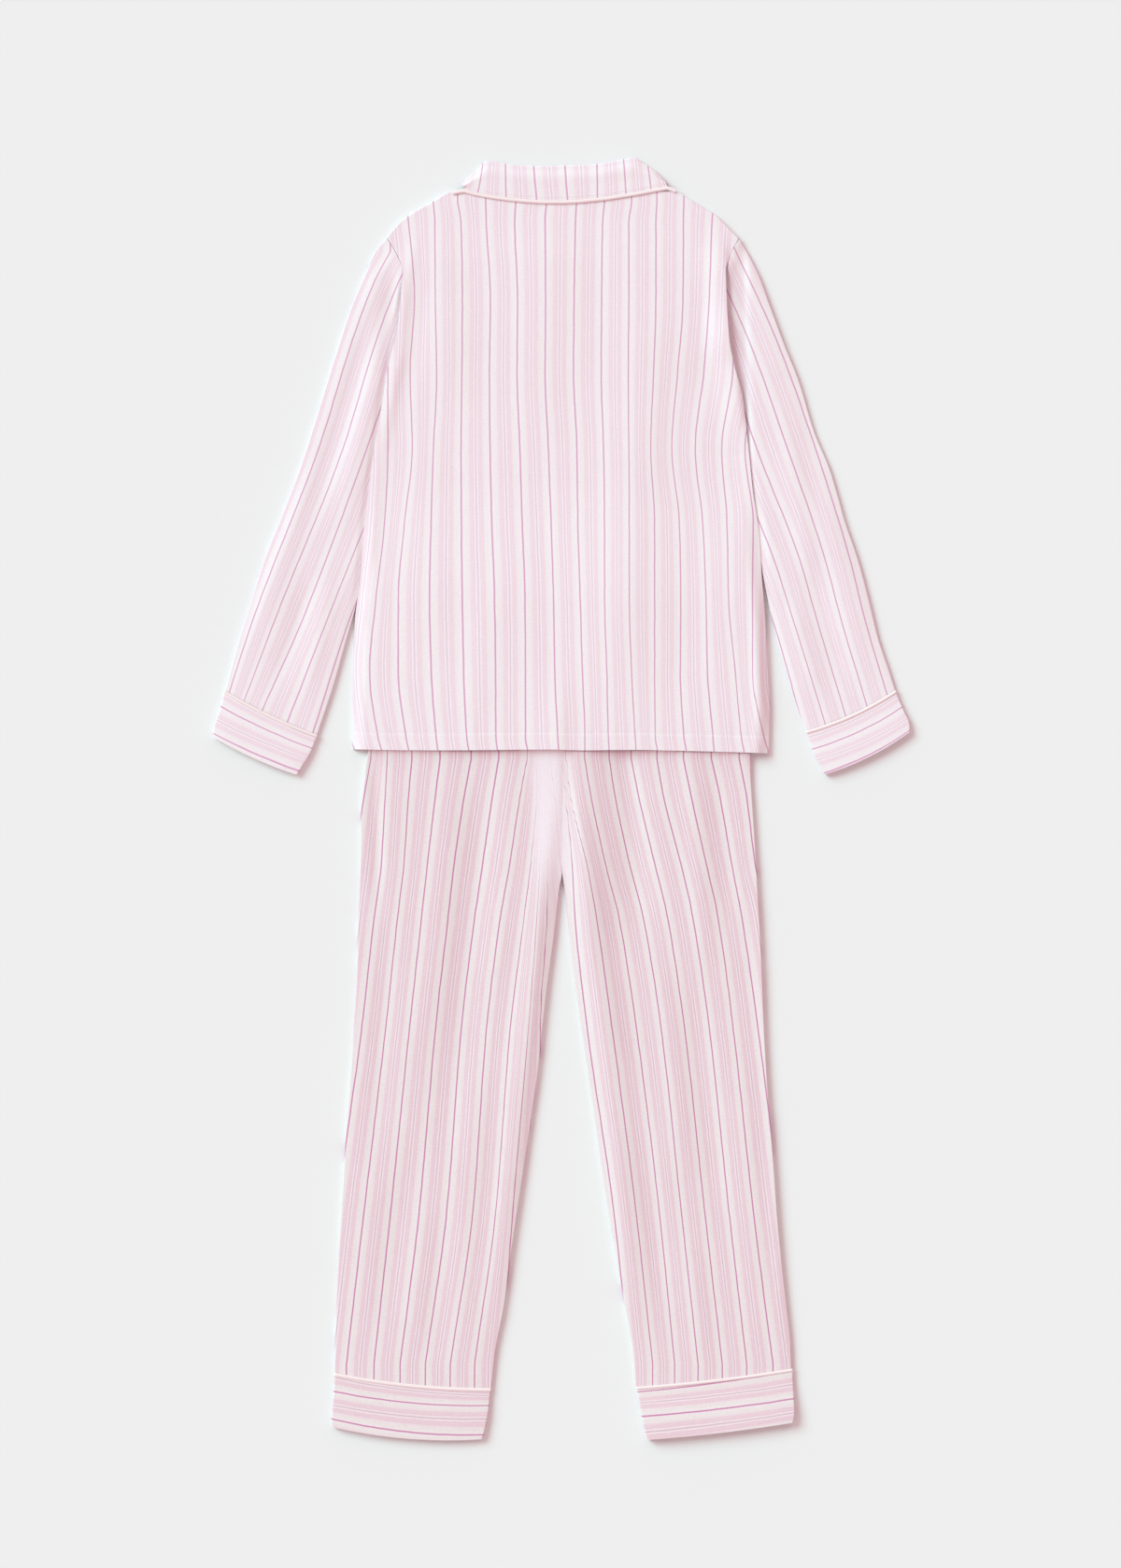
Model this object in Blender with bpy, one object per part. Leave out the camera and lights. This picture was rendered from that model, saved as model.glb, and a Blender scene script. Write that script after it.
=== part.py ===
"""A child's pyjama set laid flat with its back up, the shirt lying over the top of the trousers.

Every size is in millimetres in the frame of the laid-out set: x to the right, y towards the
collar, z up from the surface that it lies on. The wearer's left is at negative x.
"""

import math
from collections import namedtuple

import bmesh
import bpy

for item in list(bpy.data.objects):
    bpy.data.objects.remove(item, do_unlink=True)

# Driving sizes.
MM = 0.001                  # one millimetre in metres
CLOTH = 1.2                 # wall of one layer of the brushed cotton
GAP = 0.3                   # room at a seam and between two layers
SEAM = 0.8                  # room between the curved armhole and the sleeve
ROLL = 2.6                  # how far in from a folded edge the cloth turns down
TUBE_ROLL = 2.0             # the same on sleeves, cuffs, pipings and the waistband
TURN_STEPS = (0.0, 30.0, 60.0, 90.0)             # degrees round a folded edge
TUBE_STEPS = (-90.0, -45.0, 0.0, 45.0, 90.0)     # degrees round the side of a tube
TUBE_SHARES = (0.08, 0.24, 0.42, 0.58, 0.76, 0.92)    # lines along a tube's two faces

SHIRT_HEM = 50.0            # y of the shirt's hem at its middle
FRONT_HEM_INSET = 0.4       # the fronts end this far above it
BACK_EDGE_HEIGHT = 4.2      # top of the back above its rest, beside its edges
BACK_CROWN = 2.2            # how much higher the middle of the back is
BACK_HALF_WIDTH = 200.0     # where that crown has run out
NECK_CROWN = 0.4            # what is left of the crown at the neckline
NECK_FADE = 60.0            # it has changed to that over this length
CHEST_RISE = 1.5            # the fronts lie this high on the collar's leaves
LEAF_REACH = 487.0          # y of the leaves' lowest points
CHEST_RAMP = 90.0           # this far below them the fronts lie on the surface again
PLATE_INSET = 2.4           # the trousers' lower layer ends this far inside a folded edge
FRONT_INSET = 4.0           # and the shirt's

FRONT_LAP = 12.0            # each front passes the middle by this much
FRONT_NECK = 536.0          # y of the front neck point
NECK_HALF_WIDTH = 108.0     # x of the neck's side point
NECK_CURVE = 1.6            # power of the front neckline's curve
NECK_SIDE = 613.0           # y of the neck's side point on the fronts
SHOULDER_BLEND = 8.0        # the neckline's plain edge turns into a folded one over this length
LAP_START = FRONT_LAP + 1.5      # beside the lap the fronts come down from here
LAP_END = FRONT_LAP + 18.0       # to here

BUTTON_DIAMETER = 11.5
BUTTON_THICKNESS = 1.6
BUTTON_COUNT = 5
BUTTON_FIRST = 448.0        # y of the highest button
BUTTON_PITCH = 90.0
BUTTON_RIM = 0.3            # softening of a button's edges
BUTTON_SIDES = 20
BUTTON_RISE = BUTTON_THICKNESS + GAP

SEAT_X = 1.4                # x of the seat seam
CROTCH = -72.2              # y of the crotch
WAISTBAND_TOP = 198.0
WAISTBAND_DEPTH = 28.0
WAIST_HALF_WIDTH = 132.0
WAISTBAND_HEIGHT = 4.8      # top of the waistband at its ends
LEG_EDGE_HEIGHT = 4.9       # top of a leg beside its edges
LEG_CROWN = 1.4             # how much higher the middle of a leg is
HIDDEN_CROWN = 0.6          # the same under the shirt, and of the waistband
CROWN_FADE = 60.0           # length from the one to the other
CROTCH_FADE = 30.0          # length from the seat seam to a fully folded inner edge
SHIRT_REST = 5.9            # the shirt lies this high on the trousers
SHIRT_DROOP = 14.0          # width of the strip beside its edges where it comes down
WAIST_DROOP = 130.0         # and of the strip past the waistband

SLEEVE_EDGE_HEIGHT = 4.4
SLEEVE_SLOPE = 14.0         # from its outer edge to its crest
FOLLOW_REACH = 0.25         # share of a section over which it comes to bend along the armhole
CUFF_EDGE_HEIGHT = 5.2
CUFF_CROWN = 1.0            # how much higher a cuff's or piping's middle is
PIPING_PROUD = 0.5          # a piping stands this much higher than its cuff
COLLAR_EDGE_GAP = 0.5
COLLAR_FOLD_TOP = 4.8       # upper and lower face of the collar at its fold
COLLAR_FOLD_LOW = 0.6
COLLAR_FOLD_RADIUS = 2.2
COLLAR_PIPING_WIDTH = 3.8
COLLAR_PIPING_HEIGHT = 2.0
CORD_SIDES = 8
MIN_TURNED = 1.2            # the collar's edge lies at least this far from its neck seam
COLLAR_ROOM = 0.45          # the collar lies this far over the back
NECK_ROOM = 0.8             # and the neck seam this far from its fold

# Lines of the wall's faces.
EDGE_DEPTHS = (7.5, 15.0)   # along the body's edges
BODY_COLUMNS = 15           # between them
BODY_LEVELS = (
    75.0, 105.0, 135.0, 170.0, 198.0, 212.0, 225.0, 238.0, 275.0, 310.0, 345.0, 380.0, 415.0,
    457.0, 472.0, 487.0,
)
SHOULDER_LEVELS = (507.0, 522.0, 534.0, 544.0, 552.0, 560.0)
FRONT_COLUMNS = 6           # of the body's lines that a front has beside its edge
FRONT_STEPS = 4             # from the highest level to a front's upper edge
LEG_COLUMNS = 7
LEG_ROWS = 22
PLATE_COLUMNS = 6
COLLAR_OVER = (0.0, 0.25, 0.6, 1.0)      # shares from the collar's edge to its fold
COLLAR_TURNS = (60.0, 30.0, 0.0, -30.0, -60.0)    # degrees round the fold
COLLAR_BACK = (1.0, 0.6, 0.0)            # shares from the neck seam to the fold

# The body's outline: one row for each height, from the hem to the shoulder's outer ends.
Body = namedtuple("Body", "y left right")
BODY = (
    Body(47.0, -211.8, 211.4),
    Body(91.0, -212.1, 212.3),
    Body(130.0, -211.4, 210.4),
    Body(178.0, -209.7, 208.0),
    Body(222.0, -204.7, 204.2),
    Body(269.0, -200.9, 201.4),
    Body(311.0, -196.2, 195.2),
    Body(361.0, -189.0, 190.0),
    Body(410.0, -180.6, 184.1),
    Body(438.0, -175.8, 176.6),
    Body(469.0, -168.6, 170.6),
    Body(499.0, -163.9, 168.6),
    Body(537.0, -160.8, 167.6),
    Body(552.0, -166.0, 171.5),
    Body(570.0, -176.7, 180.5),
)

# The hem's line, which drops a little at the right.
Hem = namedtuple("Hem", "x y")
HEM = (
    Hem(-212.0, 50.8),
    Hem(-40.0, 50.3),
    Hem(120.0, 50.0),
    Hem(165.0, 49.2),
    Hem(190.0, 48.2),
    Hem(212.0, 47.0),
)

# The back's upper edge: shoulder, neck, shoulder.
Shoulder = namedtuple("Shoulder", "x y")
SHOULDERS = (
    Shoulder(-176.7, 570.6),
    Shoulder(-164.0, 585.5),
    Shoulder(-156.0, 592.2),
    Shoulder(-146.0, 598.4),
    Shoulder(-130.0, 607.4),
    Shoulder(-109.0, 617.8),
    Shoulder(2.0, 613.0),
    Shoulder(115.0, 617.8),
    Shoulder(128.0, 611.3),
    Shoulder(142.0, 602.8),
    Shoulder(156.0, 594.2),
    Shoulder(166.0, 584.7),
    Shoulder(180.5, 569.6),
)

# Sleeves from armhole to cuff seam. The outer and inner ends of each section, its highest
# point, and the width of the dip beside its inner edge. An inner_x of None lies against the
# body, follow is how far a section bends along the armhole, and bow is how far its middle lies
# towards the cuff.
Sleeve = namedtuple("Sleeve", "outer_x outer_y inner_x inner_y crest dip follow bow")
SLEEVE_LEFT = (
    Sleeve(-178.0, 569.4, None, 543.5, 5.2, 4.0, 1.0, 0.0),
    Sleeve(-188.0, 557.5, None, 528.0, 6.0, 5.0, 0.4, 0.0),
    Sleeve(-199.0, 533.4, None, 499.0, 6.2, 6.0, 0.0, 0.0),
    Sleeve(-213.8, 499.2, None, 463.0, 6.2, 8.0, 0.0, 0.0),
    Sleeve(-229.4, 449.8, None, 410.0, 6.2, 8.0, 0.0, 0.0),
    Sleeve(-246.0, 397.6, None, 357.0, 6.0, 6.0, 0.0, 0.0),
    Sleeve(-263.8, 340.6, None, 300.0, 6.0, 6.0, 0.0, 0.0),
    Sleeve(-282.1, 292.1, None, 252.0, 6.0, 6.0, 0.0, 0.0),
    Sleeve(-300.3, 246.5, None, 208.0, 6.0, 6.0, 0.0, 0.0),
    Sleeve(-315.4, 199.0, -219.9, 155.3, 5.8, 8.0, 0.0, 0.0),
    Sleeve(-328.2, 159.1, -231.3, 114.5, 5.6, 8.0, 0.0, 1.2),
    Sleeve(-341.0, 111.6, -247.2, 66.2, 5.2, 8.0, 0.0, 2.4),
)
SLEEVE_RIGHT = (
    Sleeve(181.8, 568.6, None, 549.6, 5.4, 4.0, 1.0, 0.0),
    Sleeve(190.6, 553.4, None, 530.0, 6.4, 8.0, 0.3, 0.0),
    Sleeve(201.8, 530.6, None, 508.7, 6.4, 11.0, 0.0, 0.0),
    Sleeve(212.6, 501.1, None, 478.3, 6.4, 12.0, 0.0, 0.0),
    Sleeve(227.4, 461.2, None, 437.5, 6.4, 13.0, 0.0, 0.0),
    Sleeve(234.6, 443.2, None, 419.0, 6.4, 10.5, 0.0, 0.0),
    Sleeve(241.8, 425.1, None, 400.4, 6.4, 8.0, 0.0, 0.0),
    Sleeve(257.0, 374.8, None, 347.2, 6.4, 6.0, 0.0, 0.0),
    Sleeve(274.1, 333.0, None, 299.7, 6.4, 9.0, 0.0, 0.0),
    Sleeve(281.3, 308.8, None, 271.0, 6.4, 10.0, 0.0, 0.0),
    Sleeve(288.3, 283.6, None, 242.7, 6.4, 11.0, 0.0, 0.0),
    Sleeve(302.6, 241.8, 209.8, 204.7, 6.2, 11.0, 0.0, 0.0),
    Sleeve(314.0, 199.0, 219.0, 162.9, 6.0, 9.0, 0.0, 0.0),
    Sleeve(322.5, 163.9, 230.4, 124.9, 5.8, 8.0, 0.0, 0.0),
    Sleeve(333.9, 129.7, 241.8, 88.8, 5.4, 8.0, 0.0, 2.0),
    Sleeve(339.3, 112.0, 248.2, 70.4, 5.2, 8.0, 0.0, 4.0),
)

# Bands: cuffs and pipings from their seam to their free edge. Bow is how far the middle of a
# section lies past the straight line between its ends.
Band = namedtuple("Band", "outer_x outer_y inner_x inner_y bow")
SLEEVE_SEAM_LEFT = (
    Band(-341.3, 111.0, -247.5, 65.7, 2.4),
    Band(-342.6, 106.6, -248.6, 61.6, 2.4),
)
SLEEVE_CUFF_LEFT = (
    Band(-342.8, 106.2, -248.8, 61.2, 2.4),
    Band(-347.7, 87.9, -254.6, 47.0, 2.0),
    Band(-353.4, 68.9, -264.0, 31.5, 1.8),
    Band(-352.2, 62.2, -268.4, 24.4, 2.4),
)
SLEEVE_SEAM_RIGHT = (
    Band(339.6, 111.4, 248.5, 69.9, 4.0),
    Band(341.3, 107.0, 250.2, 65.5, 4.0),
)
SLEEVE_CUFF_RIGHT = (
    Band(341.5, 106.6, 250.4, 65.1, 4.0),
    Band(347.7, 91.7, 255.5, 49.4, 4.0),
    Band(354.3, 75.5, 263.1, 33.7, 4.0),
    Band(354.6, 68.2, 268.2, 25.0, 4.0),
)
LEG_SEAM_LEFT = (
    Band(-229.9, -582.4, -70.8, -598.0, 3.8),
    Band(-230.4, -587.6, -71.9, -603.3, 3.8),
)
LEG_CUFF_LEFT = (
    Band(-230.5, -588.0, -72.0, -603.7, 3.8),
    Band(-231.8, -612.3, -73.6, -621.8, 4.4),
    Band(-233.4, -631.3, -77.9, -643.6, 5.0),
    Band(-231.8, -638.5, -80.3, -650.6, 5.4),
)
LEG_SEAM_RIGHT = (
    Band(235.0, -578.4, 75.9, -596.9, 1.7),
    Band(235.5, -582.4, 77.3, -600.9, 1.7),
)
LEG_CUFF_RIGHT = (
    Band(235.6, -582.8, 77.4, -601.3, 1.7),
    Band(236.5, -602.8, 80.3, -617.0, 1.7),
    Band(237.5, -623.7, 84.1, -638.9, 1.6),
    Band(235.6, -633.6, 87.9, -651.0, 1.5),
)

# Each leg's outline from the waistband down to its piping.
Leg = namedtuple("Leg", "y outer inner")
LEG_LEFT = (
    Leg(-598.0, -230.1, -70.5),
    Leg(-561.0, -229.8, -66.3),
    Leg(-517.0, -228.5, -57.9),
    Leg(-470.0, -226.3, -51.5),
    Leg(-422.0, -223.7, -44.6),
    Leg(-375.0, -220.7, -37.2),
    Leg(-327.0, -217.9, -30.3),
    Leg(-280.0, -214.0, -23.5),
    Leg(-230.0, -210.7, -18.2),
    Leg(-182.0, -207.6, -12.5),
    Leg(-136.0, -206.7, -6.2),
    Leg(-91.0, -204.8, -1.4),
    Leg(CROTCH, -204.2, SEAT_X - GAP / 2),
    Leg(-9.0, -203.3, SEAT_X - GAP / 2),
    Leg(20.0, -200.4, SEAT_X - GAP / 2),
    Leg(49.0, -196.2, SEAT_X - GAP / 2),
    Leg(100.0, -184.0, SEAT_X - GAP / 2),
    Leg(170.0, -WAIST_HALF_WIDTH, SEAT_X - GAP / 2),
)
LEG_RIGHT = (
    Leg(-598.0, 235.2, 75.8),
    Leg(-554.0, 233.6, 71.7),
    Leg(-517.0, 229.6, 65.1),
    Leg(-470.0, 224.4, 57.0),
    Leg(-422.0, 220.0, 48.4),
    Leg(-375.0, 216.6, 41.0),
    Leg(-327.0, 212.8, 34.4),
    Leg(-280.0, 209.3, 27.4),
    Leg(-230.0, 206.6, 20.0),
    Leg(-182.0, 204.7, 13.5),
    Leg(-136.0, 202.6, 8.2),
    Leg(-91.0, 200.0, 3.6),
    Leg(CROTCH, 199.0, SEAT_X + GAP / 2),
    Leg(-9.0, 195.2, SEAT_X + GAP / 2),
    Leg(20.0, 193.3, SEAT_X + GAP / 2),
    Leg(49.0, 192.4, SEAT_X + GAP / 2),
    Leg(100.0, 183.0, SEAT_X + GAP / 2),
    Leg(170.0, WAIST_HALF_WIDTH, SEAT_X + GAP / 2),
)

# The collar that falls on the back: its edge, and its fold above it.
Collar = namedtuple("Collar", "edge_x edge_y fold_x fold_y")
COLLAR = (
    Collar(-98.3, 619.6, -100.7, 625.6),
    Collar(-90.7, 617.7, -92.6, 633.6),
    Collar(-81.2, 615.6, -84.1, 641.2),
    Collar(-71.7, 613.9, -75.7, 648.8),
    Collar(-62.2, 612.5, -66.0, 648.1),
    Collar(-48.4, 610.8, -52.7, 645.2),
    Collar(-32.8, 609.4, -38.5, 644.1),
    Collar(-15.7, 608.5, -19.5, 643.6),
    Collar(-0.5, 608.5, -0.5, 644.1),
    Collar(14.7, 609.0, 18.5, 644.6),
    Collar(29.9, 610.4, 35.6, 645.5),
    Collar(42.3, 611.6, 49.9, 647.9),
    Collar(56.5, 613.7, 63.2, 650.5),
    Collar(71.7, 616.1, 74.1, 652.2),
    Collar(85.0, 618.5, 83.1, 646.9),
    Collar(94.5, 620.4, 92.2, 641.3),
    Collar(103.1, 621.8, 100.7, 634.1),
    Collar(107.8, 622.5, 105.5, 629.0),
)
PIPING_END_LEFT = (-110.5, 617.6)
PIPING_END_RIGHT = (117.0, 619.6)

# A leaf of the collar on a front: its edge at the neckline and its free edge.
Leaf = namedtuple("Leaf", "neck_x neck_y free_x free_y")
LEAF = (
    Leaf(101.0, 606.0, 121.0, 600.0),
    Leaf(80.0, 583.0, 106.0, 570.0),
    Leaf(60.0, 564.0, 92.0, 541.0),
    Leaf(38.0, 549.0, 77.0, 513.0),
    Leaf(15.0, 539.0, 62.0, 487.0),
)

# The largest folds: soft ridges, or troughs where rise is negative, from one end to the other.
Fold = namedtuple("Fold", "start_x start_y end_x end_y width rise")
BODY_FOLDS = (
    Fold(-151.0, 540.0, -160.0, 470.0, 9.0, 1.6),
    Fold(-160.0, 470.0, -182.0, 360.0, 9.0, 1.8),
    Fold(-182.0, 360.0, -194.0, 260.0, 9.0, 1.2),
    Fold(162.0, 545.0, 167.0, 460.0, 11.0, 2.0),
    Fold(168.0, 460.0, 184.0, 380.0, 11.0, 2.0),
    Fold(185.0, 380.0, 198.0, 270.0, 10.0, 1.6),
)
LEG_FOLDS = (
    Fold(60.0, 10.0, 76.0, -150.0, 20.0, -1.6),
    Fold(-86.0, 20.0, -118.0, -300.0, 18.0, -1.4),
)
FOLD_TAPER = 30.0           # a fold fades in over this length at each end

# The pinks of the striped cloth, the piping and the buttons.
CLOTH_PINK = (0.86, 0.74, 0.78, 1.0)
CLOTH_PALE = (0.88, 0.79, 0.82, 1.0)
PIPING_PINK = (0.93, 0.84, 0.84, 1.0)
BUTTON_WHITE = (0.9, 0.88, 0.88, 1.0)


def soft_step(low, high, value):
    """0 up to low and 1 from high on, with a soft start and end between them."""
    share = min(1.0, max(0.0, (value - low) / (high - low)))
    return share * share * (3.0 - 2.0 * share)


def read(rows, key, field, place):
    """Read one column of a table on a smooth curve, where its key column has this place."""
    keys = [getattr(row, key) for row in rows]
    values = [getattr(row, field) for row in rows]
    if place <= keys[0]:
        return values[0]
    if place >= keys[-1]:
        return values[-1]
    slopes = [
        (values[number + 1] - values[number]) / (keys[number + 1] - keys[number])
        for number in range(len(keys) - 1)
    ]

    def slope(number):
        before = slopes[max(0, number - 1)]
        after = slopes[min(len(slopes) - 1, number)]
        if before * after <= 0.0:
            return 0.0
        return 2.0 * before * after / (before + after)

    index = max(number for number, value in enumerate(keys) if value <= place)
    span = keys[index + 1] - keys[index]
    share = (place - keys[index]) / span
    rise = share * share * (3.0 - 2.0 * share)
    return (
        values[index] * (1.0 - rise)
        + values[index + 1] * rise
        + slope(index) * span * share * (1.0 - share) ** 2
        - slope(index + 1) * span * share ** 2 * (1.0 - share)
    )


def body_left(y):
    return read(BODY, "y", "left", y)


def body_right(y):
    return read(BODY, "y", "right", y)


def shoulder_line(x):
    return read(SHOULDERS, "x", "y", x)


def hem_line(x):
    return read(HEM, "x", "y", x)


def fold_height(folds, x, y):
    """The sum of the folds' heights at one place."""
    total = 0.0
    for fold in folds:
        run_x = fold.end_x - fold.start_x
        run_y = fold.end_y - fold.start_y
        length = math.hypot(run_x, run_y)
        along = ((x - fold.start_x) * run_x + (y - fold.start_y) * run_y) / length
        across = ((x - fold.start_x) * run_y - (y - fold.start_y) * run_x) / length
        ends = soft_step(-FOLD_TAPER, 0.0, along) * soft_step(-FOLD_TAPER, 0.0, length - along)
        total += fold.rise * ends * math.exp(-((across / fold.width) ** 2))
    return total


def leg_top(x, y):
    """Upper face of the trousers."""
    rows = LEG_LEFT if x < SEAT_X else LEG_RIGHT
    outer = read(rows, "y", "outer", y)
    inner = read(rows, "y", "inner", y)
    share = min(1.0, max(0.0, (x - outer) / (inner - outer)))
    crown = LEG_CROWN + (HIDDEN_CROWN - LEG_CROWN) * soft_step(SHIRT_HEM - CROWN_FADE, SHIRT_HEM, y)
    arch = crown * (1.0 - (2.0 * share - 1.0) ** 4)
    return LEG_EDGE_HEIGHT + arch + fold_height(LEG_FOLDS, x, y)


def rest_height(x, y):
    """How high the trousers hold the shirt here."""
    side = min(x - body_left(y), body_right(y) - x)
    past_waist = soft_step(WAISTBAND_TOP, WAISTBAND_TOP + WAIST_DROOP, y)
    return SHIRT_REST * soft_step(0.0, SHIRT_DROOP, side) * (1.0 - past_waist)


def chest_rise(y):
    return CHEST_RISE * soft_step(LEAF_REACH - CHEST_RAMP, LEAF_REACH, y)


def back_top(x, y):
    """Upper face of the shirt's back."""
    bulge = max(0.0, 1.0 - (x / BACK_HALF_WIDTH) ** 2) ** 1.5
    crown = BACK_CROWN + (NECK_CROWN - BACK_CROWN) * soft_step(FRONT_NECK, FRONT_NECK + NECK_FADE, y)
    level = BACK_EDGE_HEIGHT + crown * bulge
    return rest_height(x, y) + chest_rise(y) + level + fold_height(BODY_FOLDS, x, y)


# Cloth walls. A panel is a grid of points on its outer face and another on its inner face,
# one wall apart, joined round their rims.


def make_object(name, mesh_maker, colour, roughness=0.9):
    """Turn the maker's bmesh into one closed, named solid with its own material."""
    bm = bmesh.new()
    mesh_maker(bm)
    bmesh.ops.scale(bm, vec=(MM, MM, MM), verts=bm.verts)
    bmesh.ops.recalc_face_normals(bm, faces=bm.faces)
    mesh = bpy.data.meshes.new(name)
    bm.to_mesh(mesh)
    bm.free()
    mesh.shade_smooth()
    mesh.set_sharp_from_angle(angle=math.radians(40.0))
    material = bpy.data.materials.new(name)
    material.use_nodes = True
    shader = material.node_tree.nodes["Principled BSDF"]
    shader.inputs["Base Color"].default_value = colour
    shader.inputs["Roughness"].default_value = roughness
    shader.inputs["Metallic"].default_value = 0.0
    mesh.materials.append(material)
    solid = bpy.data.objects.new(name, mesh)
    bpy.context.scene.collection.objects.link(solid)
    return solid


def join_grids(bm, outer, inner, round_section=False):
    """Join two grids of points into a closed wall. A round section closes on itself."""
    outer = [[bm.verts.new(point) for point in line] for line in outer]
    inner = [[bm.verts.new(point) for point in line] for line in inner]
    lines = len(outer)
    points = len(outer[0])
    last = points if round_section else points - 1
    for number in range(lines - 1):
        for place in range(last):
            after = (place + 1) % points
            for grid in (outer, inner):
                bm.faces.new((
                    grid[number][place], grid[number][after],
                    grid[number + 1][after], grid[number + 1][place],
                ))
    for number in (0, lines - 1):
        for place in range(last):
            after = (place + 1) % points
            bm.faces.new((
                outer[number][place], outer[number][after],
                inner[number][after], inner[number][place],
            ))
    if round_section:
        return
    for place in (0, points - 1):
        for number in range(lines - 1):
            bm.faces.new((
                outer[number][place], outer[number + 1][place],
                inner[number + 1][place], inner[number][place],
            ))


# A line of a panel lies at a turn in degrees round a folded edge, at a depth from an edge, at a
# level of its own, or at a share of what is left between these.
Line = namedtuple("Line", "kind value")
FOLDED_FIRST = [Line("first turn", turn) for turn in TURN_STEPS]
FOLDED_LAST = [Line("last turn", turn) for turn in reversed(TURN_STEPS)]


def shares(count):
    return [Line("share", (number + 1) / (count + 1)) for number in range(count)]


def turned(line):
    return line.kind.endswith("turn")


def line_depth(line, skin):
    """How far in from its edge a line lies, on a face that is a skin inside the outer one."""
    if turned(line):
        return skin + (ROLL - skin) * (1.0 - math.cos(math.radians(line.value)))
    return line.value


def line_drop(line):
    """How much of its height a line has lost round a folded edge."""
    return 1.0 - math.sin(math.radians(line.value)) if turned(line) else 0.0


# Its four edges as functions, how far each is folded down (0 to 1), and its upper face.
Panel = namedtuple(
    "Panel", "left right bottom top fold_left fold_right fold_top height columns rows",
)


def panel_face(panel, wall):
    """Points of one face of a panel: the outer face with wall 0, or the inner one."""
    firsts = [column for column in panel.columns if column.kind.startswith("first")]
    lasts = [column for column in panel.columns if column.kind.startswith("last")]
    levels = [row for row in panel.rows if row.kind == "level"]

    def across(column, y):
        if column.kind == "share":
            start = across(firsts[-1], y)
            return start + (across(lasts[0], y) - start) * column.value
        if column in firsts:
            return panel.left(y) + line_depth(column, wall * panel.fold_left(y))
        return panel.right(y) - line_depth(column, wall * panel.fold_right(y))

    def reach(column, edge):
        y = edge(0.0)
        for _ in range(8):
            y = edge(across(column, y))
        return y

    grid = []
    for column in panel.columns:
        low_y = reach(column, panel.bottom)
        top_y = reach(column, panel.top)
        fold_top = panel.fold_top(across(column, top_y))
        lowest = levels[-1].value if levels else low_y
        highest = top_y - line_depth(FOLDED_LAST[0], wall * fold_top)
        line = []
        for row in panel.rows:
            if row.kind == "level":
                y = row.value
            elif row.kind == "share":
                y = lowest + (highest - lowest) * row.value
            elif row.kind.startswith("first"):
                y = low_y + line_depth(row, 0.0)
            else:
                y = top_y - line_depth(row, wall * fold_top)
            x = across(column, y)
            fold = panel.fold_left(y) if column in firsts else panel.fold_right(y)
            keep = (1.0 - fold * line_drop(column)) * (1.0 - fold_top * line_drop(row))
            line.append((x, y, (panel.height(x, y) - wall) * keep))
        grid.append(line)
    return grid


def make_panel(name, panel, colour):
    """A panel of cloth, one wall thick, whose folded edges turn down to the surface."""

    def build(bm):
        join_grids(bm, panel_face(panel, 0.0), panel_face(panel, CLOTH))

    return make_object(name, build, colour)


def make_plate(name, columns, levels, steps, bottom, top, low, colour):
    """A panel that lies flat: columns are functions of y, and low is its lower face."""

    def build(bm):
        grids = []
        for raised in (CLOTH, 0.0):
            grid = []
            for column in columns:
                low_y, top_y = bottom(column(0.0)), top(column(0.0))
                for _ in range(8):
                    low_y, top_y = bottom(column(low_y)), top(column(top_y))
                start = levels[-1] if levels else low_y
                rows = [low_y, *levels]
                rows += [start + (top_y - start) * (step + 1) / steps for step in range(steps)]
                grid.append([(column(y), y, low(column(y), y) + raised) for y in rows])
            grids.append(grid)
        join_grids(bm, *grids)

    return make_object(name, build, colour)


def none(_):
    return 0.0


def whole(_):
    return 1.0


def surface(_x, _y):
    return 0.0


# Tubes pressed flat: sleeves, cuffs, pipings and the waistband.
Section = namedtuple("Section", "plan width height wall")


def section_ring(section, inset):
    """Points round one section of a tube: its outer face with inset 0, or its inner face."""
    half_first = section.height(0.0) / 2.0
    half_last = section.height(section.width) / 2.0
    room = TUBE_ROLL - inset
    depths = [
        TUBE_ROLL + (section.width - 2.0 * TUBE_ROLL) * share for share in TUBE_SHARES
    ]
    ring = []
    for turn in TUBE_STEPS:
        angle = math.radians(turn)
        depth = inset + room * (1.0 - math.cos(angle))
        ring.append((depth, half_first + (half_first - inset) * math.sin(angle)))
    ring += [(depth, section.height(depth) - inset) for depth in depths]
    for turn in reversed(TUBE_STEPS):
        angle = math.radians(turn)
        depth = section.width - inset - room * (1.0 - math.cos(angle))
        ring.append((depth, half_last + (half_last - inset) * math.sin(angle)))
    ring += [(depth, inset) for depth in reversed(depths)]
    return [(*section.plan(depth), height) for depth, height in ring]


def make_tube(name, sections, colour):
    """A tube of cloth through these sections, open at both ends."""

    def build(bm):
        outer = [section_ring(section, 0.0) for section in sections]
        inner = [section_ring(section, section.wall) for section in sections]
        join_grids(bm, outer, inner, round_section=True)

    return make_object(name, build, colour)


def bowed_plan(row, inner_x, bow, outward):
    """Places along a section: straight from its outer to its inner end, plus its bow."""
    run_x = inner_x - row.outer_x
    run_y = row.inner_y - row.outer_y
    width = math.hypot(run_x, run_y)
    normal = (-run_y / width * outward, run_x / width * outward)

    def plan(depth):
        share = depth / width
        push = 4.0 * bow * share * (1.0 - share)
        return (
            row.outer_x + run_x * share + normal[0] * push,
            row.outer_y + run_y * share + normal[1] * push,
        )

    return plan, width


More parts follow.
